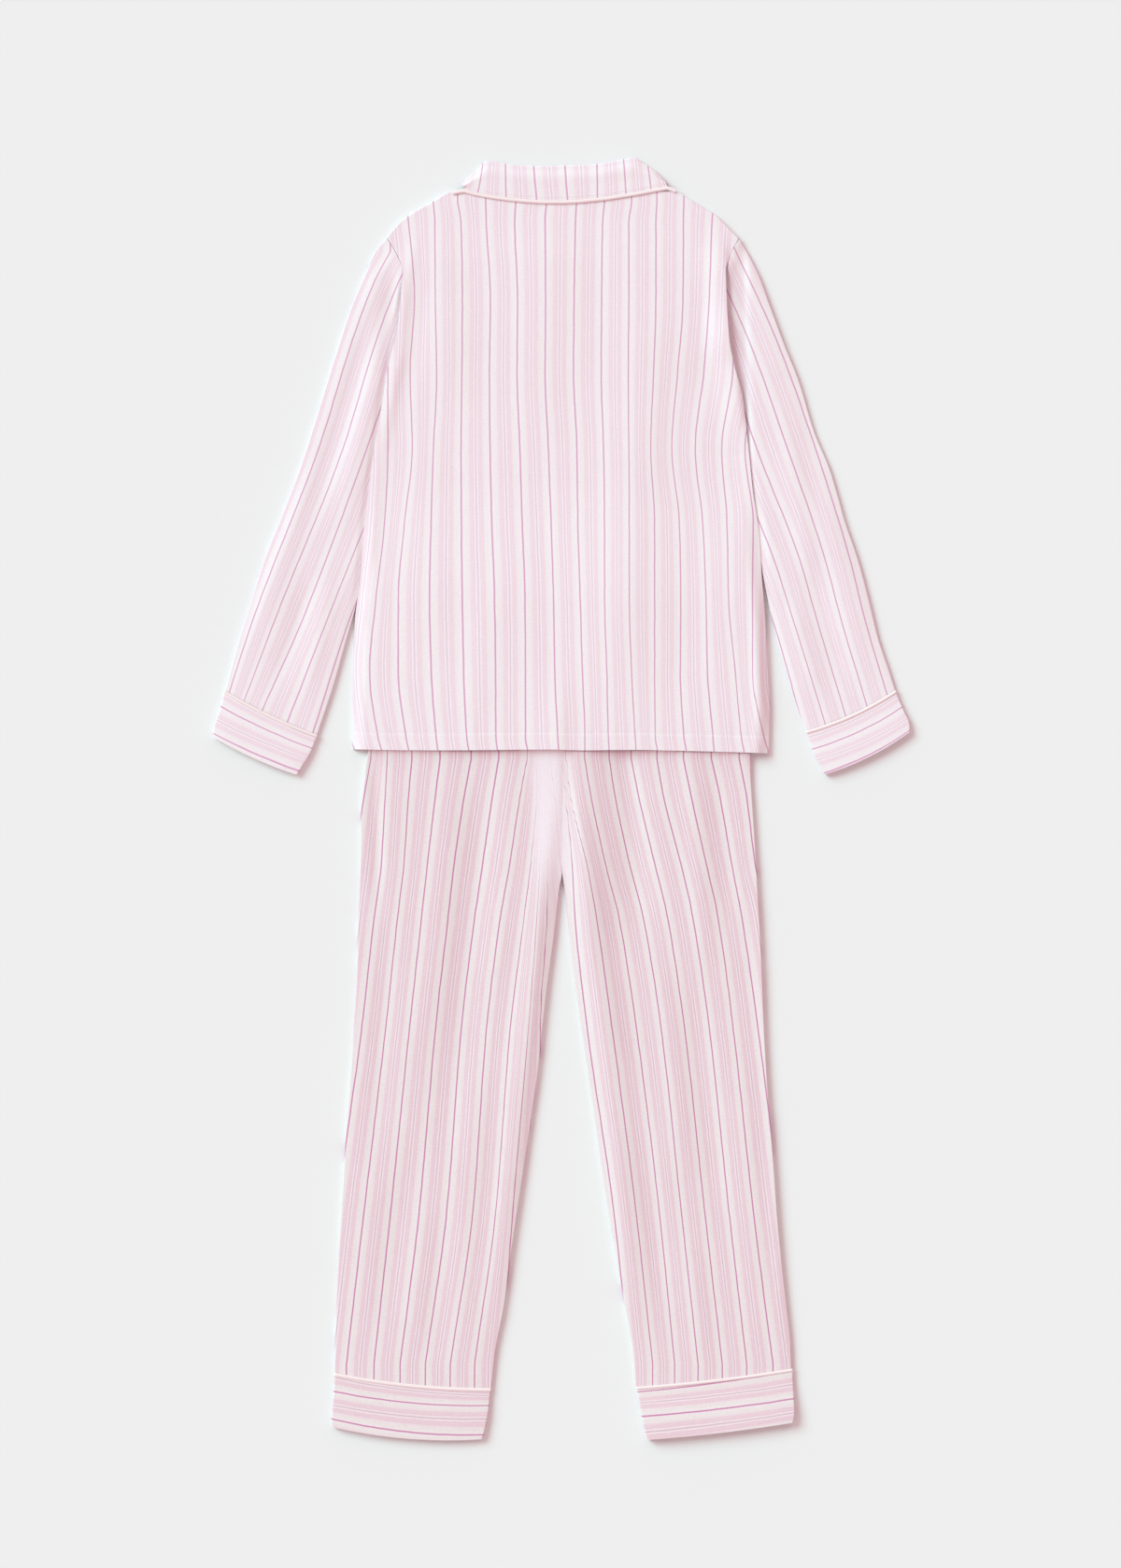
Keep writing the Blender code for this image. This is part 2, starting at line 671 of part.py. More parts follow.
def sleeve_section(row, edge, sign):
    """One section of a sleeve, whose inner end may lie against the body's edge."""
    inner_x = row.inner_x
    if inner_x is None:
        inner_x = edge(row.inner_y) + sign * SEAM
    straight, width = bowed_plan(row, inner_x, row.bow, sign)

    def plan(depth):
        x, y = straight(depth)
        beside = edge(y) + sign * SEAM
        near = soft_step(0.0, FOLLOW_REACH, depth / width)
        return x + (beside - x) * row.follow * near, y

    def height(depth):
        top = row.crest - (row.crest - SLEEVE_EDGE_HEIGHT) * (1.0 - soft_step(0.0, SLEEVE_SLOPE, depth))
        dip = soft_step(0.0, row.dip, width - depth)
        return SLEEVE_EDGE_HEIGHT + (top - SLEEVE_EDGE_HEIGHT) * dip

    return Section(plan, width, height, CLOTH)


def band_section(row, outward, edge_height, crown):
    """One section of a cuff, piping or waistband."""
    plan, width = bowed_plan(row, row.inner_x, row.bow, outward)

    def height(depth):
        share = depth / width
        return edge_height + crown * (1.0 - (2.0 * share - 1.0) ** 4)

    return Section(plan, width, height, CLOTH)


def make_band(name, rows, outward, colour, proud=0.0):
    """A cuff or a piping. A piping stands proud of the cuff along its middle."""
    sections = [band_section(row, outward, CUFF_EDGE_HEIGHT, CUFF_CROWN) for row in rows]
    if proud:
        first, last = rows[0], rows[-1]
        middle = Band(*[(first[place] + last[place]) / 2.0 for place in range(len(first))])
        raised = band_section(middle, outward, CUFF_EDGE_HEIGHT + proud, CUFF_CROWN)
        sections = [sections[0], raised, sections[-1]]
    return make_tube(name, sections, colour)


# Shirt.
def shoulder_fold(x):
    """The shoulders turn down to the surface, and the neckline between them doesn't."""
    outer = NECK_HALF_WIDTH + SHOULDER_BLEND / 4.0
    return soft_step(outer - SHOULDER_BLEND, outer, abs(x - SEAT_X))


make_panel("shirt_back", Panel(
    left=body_left,
    right=body_right,
    bottom=hem_line,
    top=shoulder_line,
    fold_left=whole,
    fold_right=whole,
    fold_top=shoulder_fold,
    height=back_top,
    columns=[
        *FOLDED_FIRST, *[Line("first", depth) for depth in EDGE_DEPTHS],
        *shares(BODY_COLUMNS),
        *[Line("last", depth) for depth in reversed(EDGE_DEPTHS)], *FOLDED_LAST,
    ],
    rows=[
        Line("first", 0.0), *[Line("level", level) for level in BODY_LEVELS + SHOULDER_LEVELS],
        *shares(1), *FOLDED_LAST,
    ],
), CLOTH_PINK)


def front_upper_edge(x):
    """Upper edge of the fronts: the shoulder, then down round the neck to the front."""
    beside = abs(x - SEAT_X) / NECK_HALF_WIDTH
    if beside >= 1.0:
        return shoulder_line(x) - FRONT_INSET
    return FRONT_NECK + (NECK_SIDE - FRONT_NECK) * beside ** NECK_CURVE


def front_low(x, y):
    """Lower face of the fronts, away from the lap."""
    return rest_height(x, y) + chest_rise(y)


def right_front_low(x, y):
    """The right front lies on the buttons, beside the middle."""
    return front_low(x, y) + BUTTON_RISE * (1.0 - soft_step(LAP_START, LAP_END, x))


def left_front_low(x, y):
    """The left front lies on the right one."""
    lap_rise = BUTTON_RISE + CLOTH + GAP
    return front_low(x, y) + lap_rise * (1.0 - soft_step(LAP_START, LAP_END, -x))


def body_column(side, depth=None, share=None):
    """One of the back's lines as a function of y: at a depth from its edge, or at a share."""

    def column(y):
        edge = body_left(y) if side < 0.0 else body_right(y)
        if share is None:
            return edge - side * depth
        start = body_left(y) + EDGE_DEPTHS[-1]
        end = body_right(y) - EDGE_DEPTHS[-1]
        return start + (end - start) * share

    return column


def upright(x):
    return lambda y: x


def make_front(side, sign, low):
    """A front, from its outer edge to past the middle."""
    count = BODY_COLUMNS + 1
    near = [place + 1 for place in range(FRONT_COLUMNS)]
    if sign > 0.0:
        near = [count - number for number in near]
    columns = [body_column(sign, depth=depth) for depth in (FRONT_INSET, *EDGE_DEPTHS)]
    columns += [body_column(sign, share=number / count) for number in near]
    middle = (LAP_START + LAP_END) / 2.0
    columns += [upright(sign * x) for x in (LAP_END, middle, LAP_START, 0.0, -FRONT_LAP)]
    make_plate(
        f"shirt_front_{side}", columns, BODY_LEVELS, FRONT_STEPS,
        lambda x: hem_line(x) + FRONT_HEM_INSET, front_upper_edge, low, CLOTH_PALE,
    )


make_front("left", -1.0, left_front_low)
make_front("right", 1.0, right_front_low)

make_tube("sleeve_left", [sleeve_section(row, body_left, -1.0) for row in SLEEVE_LEFT], CLOTH_PINK)
make_tube("sleeve_right", [sleeve_section(row, body_right, 1.0) for row in SLEEVE_RIGHT], CLOTH_PINK)
make_band("sleeve_piping_left", SLEEVE_SEAM_LEFT, -1.0, PIPING_PINK, proud=PIPING_PROUD)
make_band("sleeve_piping_right", SLEEVE_SEAM_RIGHT, 1.0, PIPING_PINK, proud=PIPING_PROUD)
make_band("sleeve_cuff_left", SLEEVE_CUFF_LEFT, -1.0, CLOTH_PINK)
make_band("sleeve_cuff_right", SLEEVE_CUFF_RIGHT, 1.0, CLOTH_PINK)


# Collar.
def collar_section(row, wall):
    """The collar from its free edge over its fold to the neck seam, on one face."""
    run_x = row.fold_x - row.edge_x
    run_y = row.fold_y - row.edge_y
    reach = math.hypot(run_x, run_y)
    neck_y = shoulder_line(row.edge_x) + COLLAR_EDGE_GAP
    neck = max(MIN_TURNED, (neck_y - row.edge_y) * reach / run_y)
    turn = reach - COLLAR_FOLD_RADIUS
    neck = min(neck, turn - NECK_ROOM)
    high = back_top(row.edge_x, row.edge_y) + COLLAR_ROOM + CLOTH
    low = back_top(row.edge_x, neck_y) - CLOTH
    path = []
    for share in COLLAR_OVER:
        place = turn * share
        sink = soft_step(min(neck + 2.0, turn - 0.5), turn, place)
        path.append((place, high + (COLLAR_FOLD_TOP - high) * sink - wall))
    middle = (COLLAR_FOLD_TOP + COLLAR_FOLD_LOW) / 2.0
    half = (COLLAR_FOLD_TOP - COLLAR_FOLD_LOW) / 2.0
    for degrees in COLLAR_TURNS:
        angle = math.radians(degrees)
        path.append((
            turn + (COLLAR_FOLD_RADIUS - wall) * math.cos(angle),
            middle + (half - wall) * math.sin(angle),
        ))
    for share in COLLAR_BACK:
        place = neck + (turn - neck) * share
        sink = soft_step(neck, turn, place)
        path.append((place, low + (COLLAR_FOLD_LOW - low) * sink + wall))
    return [
        (row.edge_x + run_x * place / reach, row.edge_y + run_y * place / reach, height)
        for place, height in path
    ]


def build_collar(bm):
    outer = [collar_section(row, 0.0) for row in COLLAR]
    inner = [collar_section(row, CLOTH) for row in COLLAR]
    join_grids(bm, outer, inner)


make_object("collar", build_collar, CLOTH_PINK)


def build_collar_piping(bm):
    """A soft cord of cloth along the collar's edge, lying on the back."""
    line = [PIPING_END_LEFT] + [(row.edge_x, row.edge_y) for row in COLLAR] + [PIPING_END_RIGHT]
    rings = []
    for number, (x, y) in enumerate(line):
        before = line[max(0, number - 1)]
        after = line[min(len(line) - 1, number + 1)]
        length = math.hypot(after[0] - before[0], after[1] - before[1])
        down = ((after[1] - before[1]) / length, (before[0] - after[0]) / length)
        base = back_top(x, y) + GAP
        ring = []
        for step in range(CORD_SIDES):
            angle = math.radians(360.0 * (step + 0.5) / CORD_SIDES)
            out = COLLAR_EDGE_GAP + COLLAR_PIPING_WIDTH / 2.0 * (1.0 + math.cos(angle))
            height = base + COLLAR_PIPING_HEIGHT / 2.0 * (1.0 + math.sin(angle))
            ring.append(bm.verts.new((x + down[0] * out, y + down[1] * out, height)))
        rings.append(ring)
    for first, second in zip(rings, rings[1:]):
        for place in range(CORD_SIDES):
            after = (place + 1) % CORD_SIDES
            bm.faces.new((first[place], first[after], second[after], second[place]))
    bm.faces.new(rings[0])
    bm.faces.new(rings[-1])


make_object("collar_piping", build_collar_piping, PIPING_PINK)


def make_leaf(name, sign):
    """A leaf of the collar, flat on the surface under a front."""

    def build(bm):
        grids = []
        for height in (CLOTH, 0.0):
            grids.append([
                [(sign * row.neck_x + SEAT_X, row.neck_y, height),
                 (sign * row.free_x + SEAT_X, row.free_y, height)]
                for row in LEAF
            ])
        join_grids(bm, *grids)

    return make_object(name, build, CLOTH_PALE)


make_leaf("collar_leaf_left", -1.0)
make_leaf("collar_leaf_right", 1.0)


def make_button(name, y):
    """A flat button with a softened rim."""

    def build(bm):
        bmesh.ops.create_cone(
            bm, cap_ends=True, segments=BUTTON_SIDES, radius1=BUTTON_DIAMETER / 2.0,
            radius2=BUTTON_DIAMETER / 2.0, depth=BUTTON_THICKNESS,
        )
        rims = [
            edge for edge in bm.edges if abs(edge.verts[0].co.z - edge.verts[1].co.z) < BUTTON_RIM
        ]
        bmesh.ops.bevel(bm, geom=rims, offset=BUTTON_RIM, segments=1, affect="EDGES")
        reach = BUTTON_DIAMETER / 2.0
        lowest = rest_height(SEAT_X, y + reach) + chest_rise(y - reach)
        base = lowest + BUTTON_THICKNESS / 2.0
        bmesh.ops.translate(bm, vec=(SEAT_X, y, base), verts=bm.verts)

    return make_object(name, build, BUTTON_WHITE, roughness=0.35)


for number in range(BUTTON_COUNT):
    make_button(f"button_{number + 1}", BUTTON_FIRST - number * BUTTON_PITCH)


# Trousers.
def crotch_fold(y):
    """The inner edge is a seam above the crotch and a folded edge below it."""
    return 1.0 - soft_step(CROTCH - CROTCH_FADE, CROTCH, y)


def ankle_line(seam_rows):
    """The leg's lower edge, along the top of its piping."""
    first = seam_rows[0]

    def edge(x):
        share = (x - first.outer_x) / (first.inner_x - first.outer_x)
        straight = first.outer_y + (first.inner_y - first.outer_y) * share
        return straight - 4.0 * first.bow * share * (1.0 - share) + SEAM

    return edge


def make_leg(side, rows, seam_rows):
    """A leg's back, which turns down at its edges, and its flat front under it."""
    left_leg = side == "left"

    def outer(y):
        return read(rows, "y", "outer", y)

    def inner(y):
        return read(rows, "y", "inner", y)

    def plate_outer(y):
        return outer(y) + (PLATE_INSET if left_leg else -PLATE_INSET)

    def plate_inner(y):
        return inner(y) - (PLATE_INSET if left_leg else -PLATE_INSET) * crotch_fold(y)

    def plate_column(share):
        return lambda y: plate_outer(y) + (plate_inner(y) - plate_outer(y)) * share

    top = WAISTBAND_TOP - WAISTBAND_DEPTH - GAP
    make_panel(f"trouser_back_{side}", Panel(
        left=outer if left_leg else inner,
        right=inner if left_leg else outer,
        bottom=ankle_line(seam_rows),
        top=lambda x: top,
        fold_left=whole if left_leg else crotch_fold,
        fold_right=crotch_fold if left_leg else whole,
        fold_top=none,
        height=leg_top,
        columns=[*FOLDED_FIRST, *shares(LEG_COLUMNS), *FOLDED_LAST],
        rows=[Line("first", 0.0), *shares(LEG_ROWS), Line("last", 0.0)],
    ), CLOTH_PINK)
    make_plate(
        f"trouser_front_{side}",
        [plate_column(number / PLATE_COLUMNS) for number in range(PLATE_COLUMNS + 1)],
        (), LEG_ROWS + 1, ankle_line(seam_rows), lambda x: top, surface, CLOTH_PALE,
    )


make_leg("left", LEG_LEFT, LEG_SEAM_LEFT)
make_leg("right", LEG_RIGHT, LEG_SEAM_RIGHT)
make_band("leg_piping_left", LEG_SEAM_LEFT, -1.0, PIPING_PINK, proud=PIPING_PROUD)
make_band("leg_piping_right", LEG_SEAM_RIGHT, 1.0, PIPING_PINK, proud=PIPING_PROUD)
make_band("leg_cuff_left", LEG_CUFF_LEFT, -1.0, CLOTH_PINK)
make_band("leg_cuff_right", LEG_CUFF_RIGHT, 1.0, CLOTH_PINK)

WAISTBAND = tuple(
    Band(SEAT_X - WAIST_HALF_WIDTH, y, SEAT_X + WAIST_HALF_WIDTH, y, 0.0)
    for y in (WAISTBAND_TOP, WAISTBAND_TOP - WAISTBAND_DEPTH / 2, WAISTBAND_TOP - WAISTBAND_DEPTH)
)
make_tube(
    "waistband",
    [band_section(row, 1.0, WAISTBAND_HEIGHT, HIDDEN_CROWN) for row in WAISTBAND],
    CLOTH_PALE,
)
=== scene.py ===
"""The looks of a child's striped pyjama set, laid flat with its back up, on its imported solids.

Places and sizes are in millimetres until a mesh is made: x to the right, y towards the collar and
z up from the surface that the set lies on. The wearer's left is at negative x.
"""

import math
from collections import namedtuple

import bmesh
import bpy
import numpy as np
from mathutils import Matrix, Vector


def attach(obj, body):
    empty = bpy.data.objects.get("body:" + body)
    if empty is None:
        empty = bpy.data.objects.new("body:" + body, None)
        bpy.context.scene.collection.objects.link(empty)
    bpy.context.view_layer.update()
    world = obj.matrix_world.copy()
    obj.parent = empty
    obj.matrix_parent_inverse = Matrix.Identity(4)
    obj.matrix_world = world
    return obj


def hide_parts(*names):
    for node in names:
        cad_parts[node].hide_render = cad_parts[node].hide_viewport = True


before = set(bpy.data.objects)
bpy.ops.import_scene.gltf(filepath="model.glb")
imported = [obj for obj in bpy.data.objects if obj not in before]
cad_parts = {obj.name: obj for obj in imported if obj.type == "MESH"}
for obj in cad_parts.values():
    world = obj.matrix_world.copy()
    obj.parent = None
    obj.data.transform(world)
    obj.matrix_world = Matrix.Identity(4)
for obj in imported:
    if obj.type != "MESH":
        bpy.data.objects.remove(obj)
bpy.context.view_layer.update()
MM = 0.001

# Surface, camera and light
# The set lies on a wide, plain, pale board and is seen from straight above. A large soft light from
# the upper left and an even light from all round show the folds of the cloth.
PICTURE_SCALE = 0.95  # millimetres of the set to one pixel of the picture
PICTURE_HEIGHT = 1679.0  # pixels
VIEW_CENTRE = (-0.5, 15.2)
CAMERA_HEIGHT = 6000.0
SENSOR = 24.0
BOARD_SIZE = 14000.0
BOARD_DROP = 0.2  # how far the board lies under the set
BOARD_WHITE = (0.83, 0.83, 0.83, 1.0)
KEY_FROM = (-0.664, 0.463, 0.588)
KEY_STRENGTH = 2.607
KEY_SPREAD = 34.0  # degrees
KEY_COLOUR = (0.596, 1.0, 0.979)
FILL_STRENGTH = 0.747
FILL_COLOUR = (1.0, 0.736, 0.75, 1.0)
BACKDROP_GREY = (0.86, 0.86, 0.86, 1.0)


def new_finish(name, values):
    """A new material, with these plain values in its shader's sockets, its nodes and its shader."""
    finish = bpy.data.materials.new(name)
    finish.use_nodes = True
    shader = finish.node_tree.nodes["Principled BSDF"]
    for socket, value in values.items():
        shader.inputs[socket].default_value = value
    return finish, finish.node_tree, shader


bpy.ops.object.select_all(action="DESELECT")
bpy.ops.mesh.primitive_plane_add(size=BOARD_SIZE * MM, location=(0.0, 0.0, -BOARD_DROP * MM))
board = bpy.context.object
board.name = "board"
bpy.ops.object.transform_apply(location=True, rotation=True, scale=True)
board_finish, _, _ = new_finish(
    "matt_board", {"Base Color": BOARD_WHITE, "Roughness": 0.9, "Specular IOR Level": 0.2},
)
board.data.materials.append(board_finish)

bpy.ops.object.camera_add(
    location=(VIEW_CENTRE[0] * MM, VIEW_CENTRE[1] * MM, CAMERA_HEIGHT * MM), rotation=(0.0, 0.0, 0.0),
)
camera = bpy.context.object
camera.data.sensor_fit = "VERTICAL"
camera.data.sensor_height = SENSOR
camera.data.lens = SENSOR * CAMERA_HEIGHT / (PICTURE_HEIGHT * PICTURE_SCALE)
bpy.context.scene.camera = camera

bpy.ops.object.light_add(type="SUN")
key_light = bpy.context.object
key_light.rotation_euler = Vector(KEY_FROM).to_track_quat("Z", "Y").to_euler()
key_light.data.energy = KEY_STRENGTH
key_light.data.angle = math.radians(KEY_SPREAD)
key_light.data.color = KEY_COLOUR

studio = bpy.data.worlds.new("studio")
studio.use_nodes = True
nodes, links = studio.node_tree.nodes, studio.node_tree.links
nodes["Background"].inputs["Color"].default_value = FILL_COLOUR
nodes["Background"].inputs["Strength"].default_value = FILL_STRENGTH
backdrop = nodes.new("ShaderNodeBackground")
backdrop.inputs["Color"].default_value = BACKDROP_GREY
seen = nodes.new("ShaderNodeLightPath")
either = nodes.new("ShaderNodeMixShader")
links.new(seen.outputs["Is Camera Ray"], either.inputs["Fac"])
links.new(nodes["Background"].outputs["Background"], either.inputs[1])
links.new(backdrop.outputs["Background"], either.inputs[2])
links.new(either.outputs["Shader"], nodes["World Output"].inputs["Surface"])
bpy.context.scene.world = studio
bpy.context.scene.view_settings.view_transform = "Standard"

# Shirt back
# One piece of brushed cotton with woven stripes, from its hem to the shoulders. It lies over the top
# of the trousers, rolls under at its sides and shoulders, and ends below in a turned, stitched hem.
CLOTH = 1.2  # wall of one layer
ROLL = 0.8  # how far in from a folded edge the cloth turns down
MESH_STEP = 2.5  # between the lines of a mesh
ROLL_TURN = 15.0  # degrees between its lines round a roll
EDGE_PASSES = 8  # how often a panel's ends are brought nearer to their edges
ROLL_HOLD = 0.5  # from a roll to the line that holds it tight
SEAT_X = 1.4  # x of the shirt's and trousers' middle
SHIRT_HEM = 50.0  # y of the hem at the middle
NECK_HALF_WIDTH = 108.0
NECK_FOLD_RAMP = (102.0, 110.0)
BACK_EDGE_HEIGHT = 4.2  # top of the back above its rest, beside its edges
BACK_CROWN = 2.2  # how much higher its middle is
BACK_HALF_WIDTH = 200.0
NECK_CROWN = 0.4  # what is left of that crown at the neckline
NECK_RAMP = 60.0
FRONT_NECK = 536.0  # y of the fronts' neck point
CHEST_RISE = 1.5  # the collar's leaves lift the chest by this much
LEAF_REACH = 487.0  # y of their lowest points
CHEST_RAMP = 90.0
SHIRT_REST = 5.9  # the trousers lift the shirt by this much
SHIRT_DROOP = 14.0
WAISTBAND_TOP = 198.0
WAIST_DROOP = 130.0
HEM_DEPTH = 17.5  # the hem's stitching lies this far above its edge
HEM_RISE = 0.35  # the turned cloth is this much higher
HEM_TURN_RAMP = (-0.5, 2.0)
HEM_GROOVE = 0.45  # the stitching draws the cloth in by this much
HEM_GROOVE_WIDTH = 1.1
HEM_PUCKER = 0.13
HEM_PUCKER_REACH = 5.0
HEM_ROWS = (0.0, 0.5, 1.2, 2.4, 4.0, 6.0, 8.5, 11.0, 13.5, 15.3, 16.4, 17.1, 17.9, 18.6, 19.7, 21.5, 24.0)
HEM_STITCH_INSET = 6.0  # the stitching's ends lie this far in from the sides
HEM_STITCH_Y = 64.0
HEM_STITCH_STEP = 2.0
STITCH_GAP = 3.1
STITCH_LENGTH = 2.3
STITCH_WIDTH = 0.42
STITCH_LIFT = 0.1
STITCH_SIDES = 6
# A stitch's rings: the share of its length, of its width, and how far the middle lies above its path.
STITCH_RINGS = ((0.0, 0.45, -0.25), (0.22, 1.0, 0.1), (0.78, 1.0, 0.1), (1.0, 0.45, -0.25))
SLEEVE_LOWEST = 150.0  # below this no sleeve is sewn to the side or lies beside it
SLEEVE_RAMP = 60.0
SHARP_FOLD = 55.0  # degrees between faces where shading isn't smooth
BACK_WIDTH = 424.0
BACK_LENGTH = 570.0

Body = namedtuple("Body", "y left right")
BODY = (
    Body(47, -211.8, 211.4),
    Body(91, -212.1, 212.3),
    Body(130, -211.4, 210.4),
    Body(178, -209.7, 208),
    Body(222, -204.7, 204.2),
    Body(269, -200.9, 201.4),
    Body(311, -196.2, 195.2),
    Body(361, -189, 190),
    Body(410, -180.6, 184.1),
    Body(438, -175.8, 176.6),
    Body(469, -168.6, 170.6),
    Body(499, -163.9, 168.6),
    Body(537, -160.8, 167.6),
    Body(552, -166, 171.5),
    Body(570, -176.7, 180.5),
)
Shoulder = namedtuple("Shoulder", "x y")
SHOULDERS = (
    Shoulder(-176.7, 570.6),
    Shoulder(-164, 585.5),
    Shoulder(-156, 592.2),
    Shoulder(-146, 598.4),
    Shoulder(-130, 607.4),
    Shoulder(-109, 617.8),
    Shoulder(2, 613),
    Shoulder(115, 617.8),
    Shoulder(128, 611.3),
    Shoulder(142, 602.8),
    Shoulder(156, 594.2),
    Shoulder(166, 584.7),
    Shoulder(180.5, 569.6),
)
Hem = namedtuple("Hem", "x y")
HEM = (
    Hem(-212, 50.5), Hem(-162, 49.5), Hem(-125, 49.3), Hem(-88, 49.5), Hem(-50, 49.9),
    Hem(-13, 50.2), Hem(24, 49.3), Hem(62, 49.8), Hem(99, 49.4), Hem(137, 48.5),
    Hem(174, 47.6), Hem(212, 46.2),
)

# Where the dark stripes cross each height, from the left, the first of them being stripe number first.
Stripes = namedtuple("Stripes", "y first places")
STRIPE_REPEAT = 28.0
STRIPES_BEYOND = 8  # stripes counted on past both ends of a row
BACK_STRIPES = (
    Stripes(49.9, 0, (-182.2, -154.8, -125.2, -93.6, -64.6, -34.2, -2.4, 24.2, 48.9, 76.2, 97.4,
        126.8, 155.3, 185.7, 210.4)),
    Stripes(62.2, 0, (-185.7, -157.2, -126.8, -95.5, -66, -36.1, -3.3, 24.2, 48, 75.5, 95.5,
        124.9, 154.4, 183.3, 206.1)),
    Stripes(128.7, 0, (-194.3, -165.3, -131.6, -98.8, -66.5, -36.1, -6.2, 21.8, 46.5, 71.7, 95,
                       121.1, 148.7, 177.2, 194.3)),
    Stripes(204.7, 0, (-187.6, -165.3, -133.5, -100.2, -67.5, -36.6, -7.6, 19.5, 44.2, 69.3, 95,
                       121.6, 147.2, 170.0, 194.3)),
    Stripes(280.7, 0, (-179.1, -159.1, -132, -101.2, -70.3, -39.4, -10, 17.1, 44.2, 69.3, 95,
                       120.2, 143.9, 168.6, 195.2)),
    Stripes(356.7, 0, (-175.8, -151, -129.7, -101.6, -72.2, -41.8, -12.8, 16.1, 43.2, 68.9, 91.2,
                       112.6, 136.3, 163.4, 186.7)),
    Stripes(432.7, 0, (-175.8, -153.4, -126.3, -100.7, -72.7, -44.6, -16.1, 12.8, 40.9, 68.4, 94,
                       118.3, 144.9, 174.3)),
    Stripes(508.7, 1, (-148.7, -127.8, -100.2, -71.7, -44.2, -15.7, 13.3, 41.3, 68.9, 96.4, 124,
                       150.6, 176.2)),
    Stripes(584.7, 1, (-154.8, -128.2, -101.6, -76, -47, -16.1, 14.7, 42.3, 68.9, 96.4, 124.4,
                       153.4)),
    Stripes(606.4, 2, (-129.7, -105, -76.5, -46.1, -14.7, 15.7, 44.2, 71.7, 97.4, 124.9, 155.3)),
)

# Creases run from a start to an end, bow sideways by bend at their middle, and are wider on their left
# than on their right where lean is positive. Rise is negative in a trough.
Crease = namedtuple("Crease", "start_x start_y end_x end_y bend width rise lean", defaults=(0.0,))
CREASE_FADE = 0.35  # share of its length over which a crease dies away at each end
SEAT_RIDGE = Crease(-1, 140, 0, -100, -3, 14, 1.6, 0.3)
BACK_CREASES = (
    Crease(-149, 575, -162, 455, -2, 8, 1.9, 0.2),
    Crease(-156, 490, -187, 330, -1, 8.5, 2, 0.2),
    Crease(-179, 390, -199, 200, 0, 9, 1.5, 0.1),
    Crease(-136, 545, -152, 400, 0, 9, -0.9),
    Crease(96, 560, 60, 40, -6, 30, 2.2, 0.1),
    Crease(-128, 620, -112, 380, 3, 26, 1.4, 0.2),
    Crease(-150, 420, -120, 120, -4, 24, 1.1),
    Crease(-20, 610, -36, 330, 4, 26, 0.8),
    Crease(-40, 360, 0, 80, 6, 26, -0.8),
    Crease(140, 360, 118, 60, 5, 20, -1),
    Crease(-70, 250, -88, 40, 0, 18, 0.9),
    Crease(30, 620, 44, 420, 0, 20, -0.8),
    Crease(160, 584, 169, 430, 3, 12, 4.4, 0.5),
    Crease(167, 510, 187, 350, 0, 12, 4.4, 0.5),
    Crease(182, 420, 200, 240, 1, 11, 2.2, 0.4),
    Crease(201, 290, 205, 0, 0, 8, 2.6),
    Crease(141, 540, 152, 400, 0, 10, -0.9),
)


def soft_step(low, high, values):
    """0 up to low and 1 from high on, with a soft start and end between them."""
    share = np.clip((values - low) / (high - low), 0.0, 1.0)
    return share * share * (3.0 - 2.0 * share)


def curve_through(keys, values, places):
    """Values at places on a smooth curve through a table's points that never swings past them."""
    keys = np.asarray(keys, float)
    values = np.asarray(values, float)
    spans = np.diff(keys)
    runs = np.diff(values) / spans
    before, after = runs[:-1], runs[1:]
    same_way = before * after > 0.0
    slopes = np.concatenate([runs[:1], np.zeros(len(runs) - 1), runs[-1:]])
    slopes[1:-1][same_way] = (2.0 * before * after)[same_way] / (before + after)[same_way]
    places = np.clip(places, keys[0], keys[-1])
    index = np.clip(np.searchsorted(keys, places, side="right") - 1, 0, len(spans) - 1)
    span = spans[index]
    share = (places - keys[index]) / span
    rise = share * share * (3.0 - 2.0 * share)
    return (
        values[index] * (1.0 - rise) + values[index + 1] * rise
        + slopes[index] * span * share * (1.0 - share) ** 2
        - slopes[index + 1] * span * share ** 2 * (1.0 - share)
    )


def read(rows, key, field, places):
    """One column of a table at these places of its key column."""
    return curve_through([getattr(row, key) for row in rows], [getattr(row, field) for row in rows], places)


def body_left(y):
    return read(BODY, "y", "left", y)


def body_right(y):
    return read(BODY, "y", "right", y)


def shoulder_line(x):
    return read(SHOULDERS, "x", "y", x)


def hem_line(x):
    return read(HEM, "x", "y", x)


def crease_height(creases, x, y):
    """The creases' heights, added up."""
    total = np.zeros_like(x)
    for crease in creases:
        run_x = crease.end_x - crease.start_x
        run_y = crease.end_y - crease.start_y
        length = math.hypot(run_x, run_y)
        along = ((x - crease.start_x) * run_x + (y - crease.start_y) * run_y) / length ** 2
        across = ((y - crease.start_y) * run_x - (x - crease.start_x) * run_y) / length
        across = across - 4.0 * crease.bend * along * (1.0 - along)
        width = crease.width * np.where(across < 0.0, 1.0 + crease.lean, 1.0 - crease.lean)
        fade = soft_step(0.0, CREASE_FADE, along) * soft_step(0.0, CREASE_FADE, 1.0 - along)
        total += crease.rise * fade * np.exp(-((across / width) ** 2))
    return total


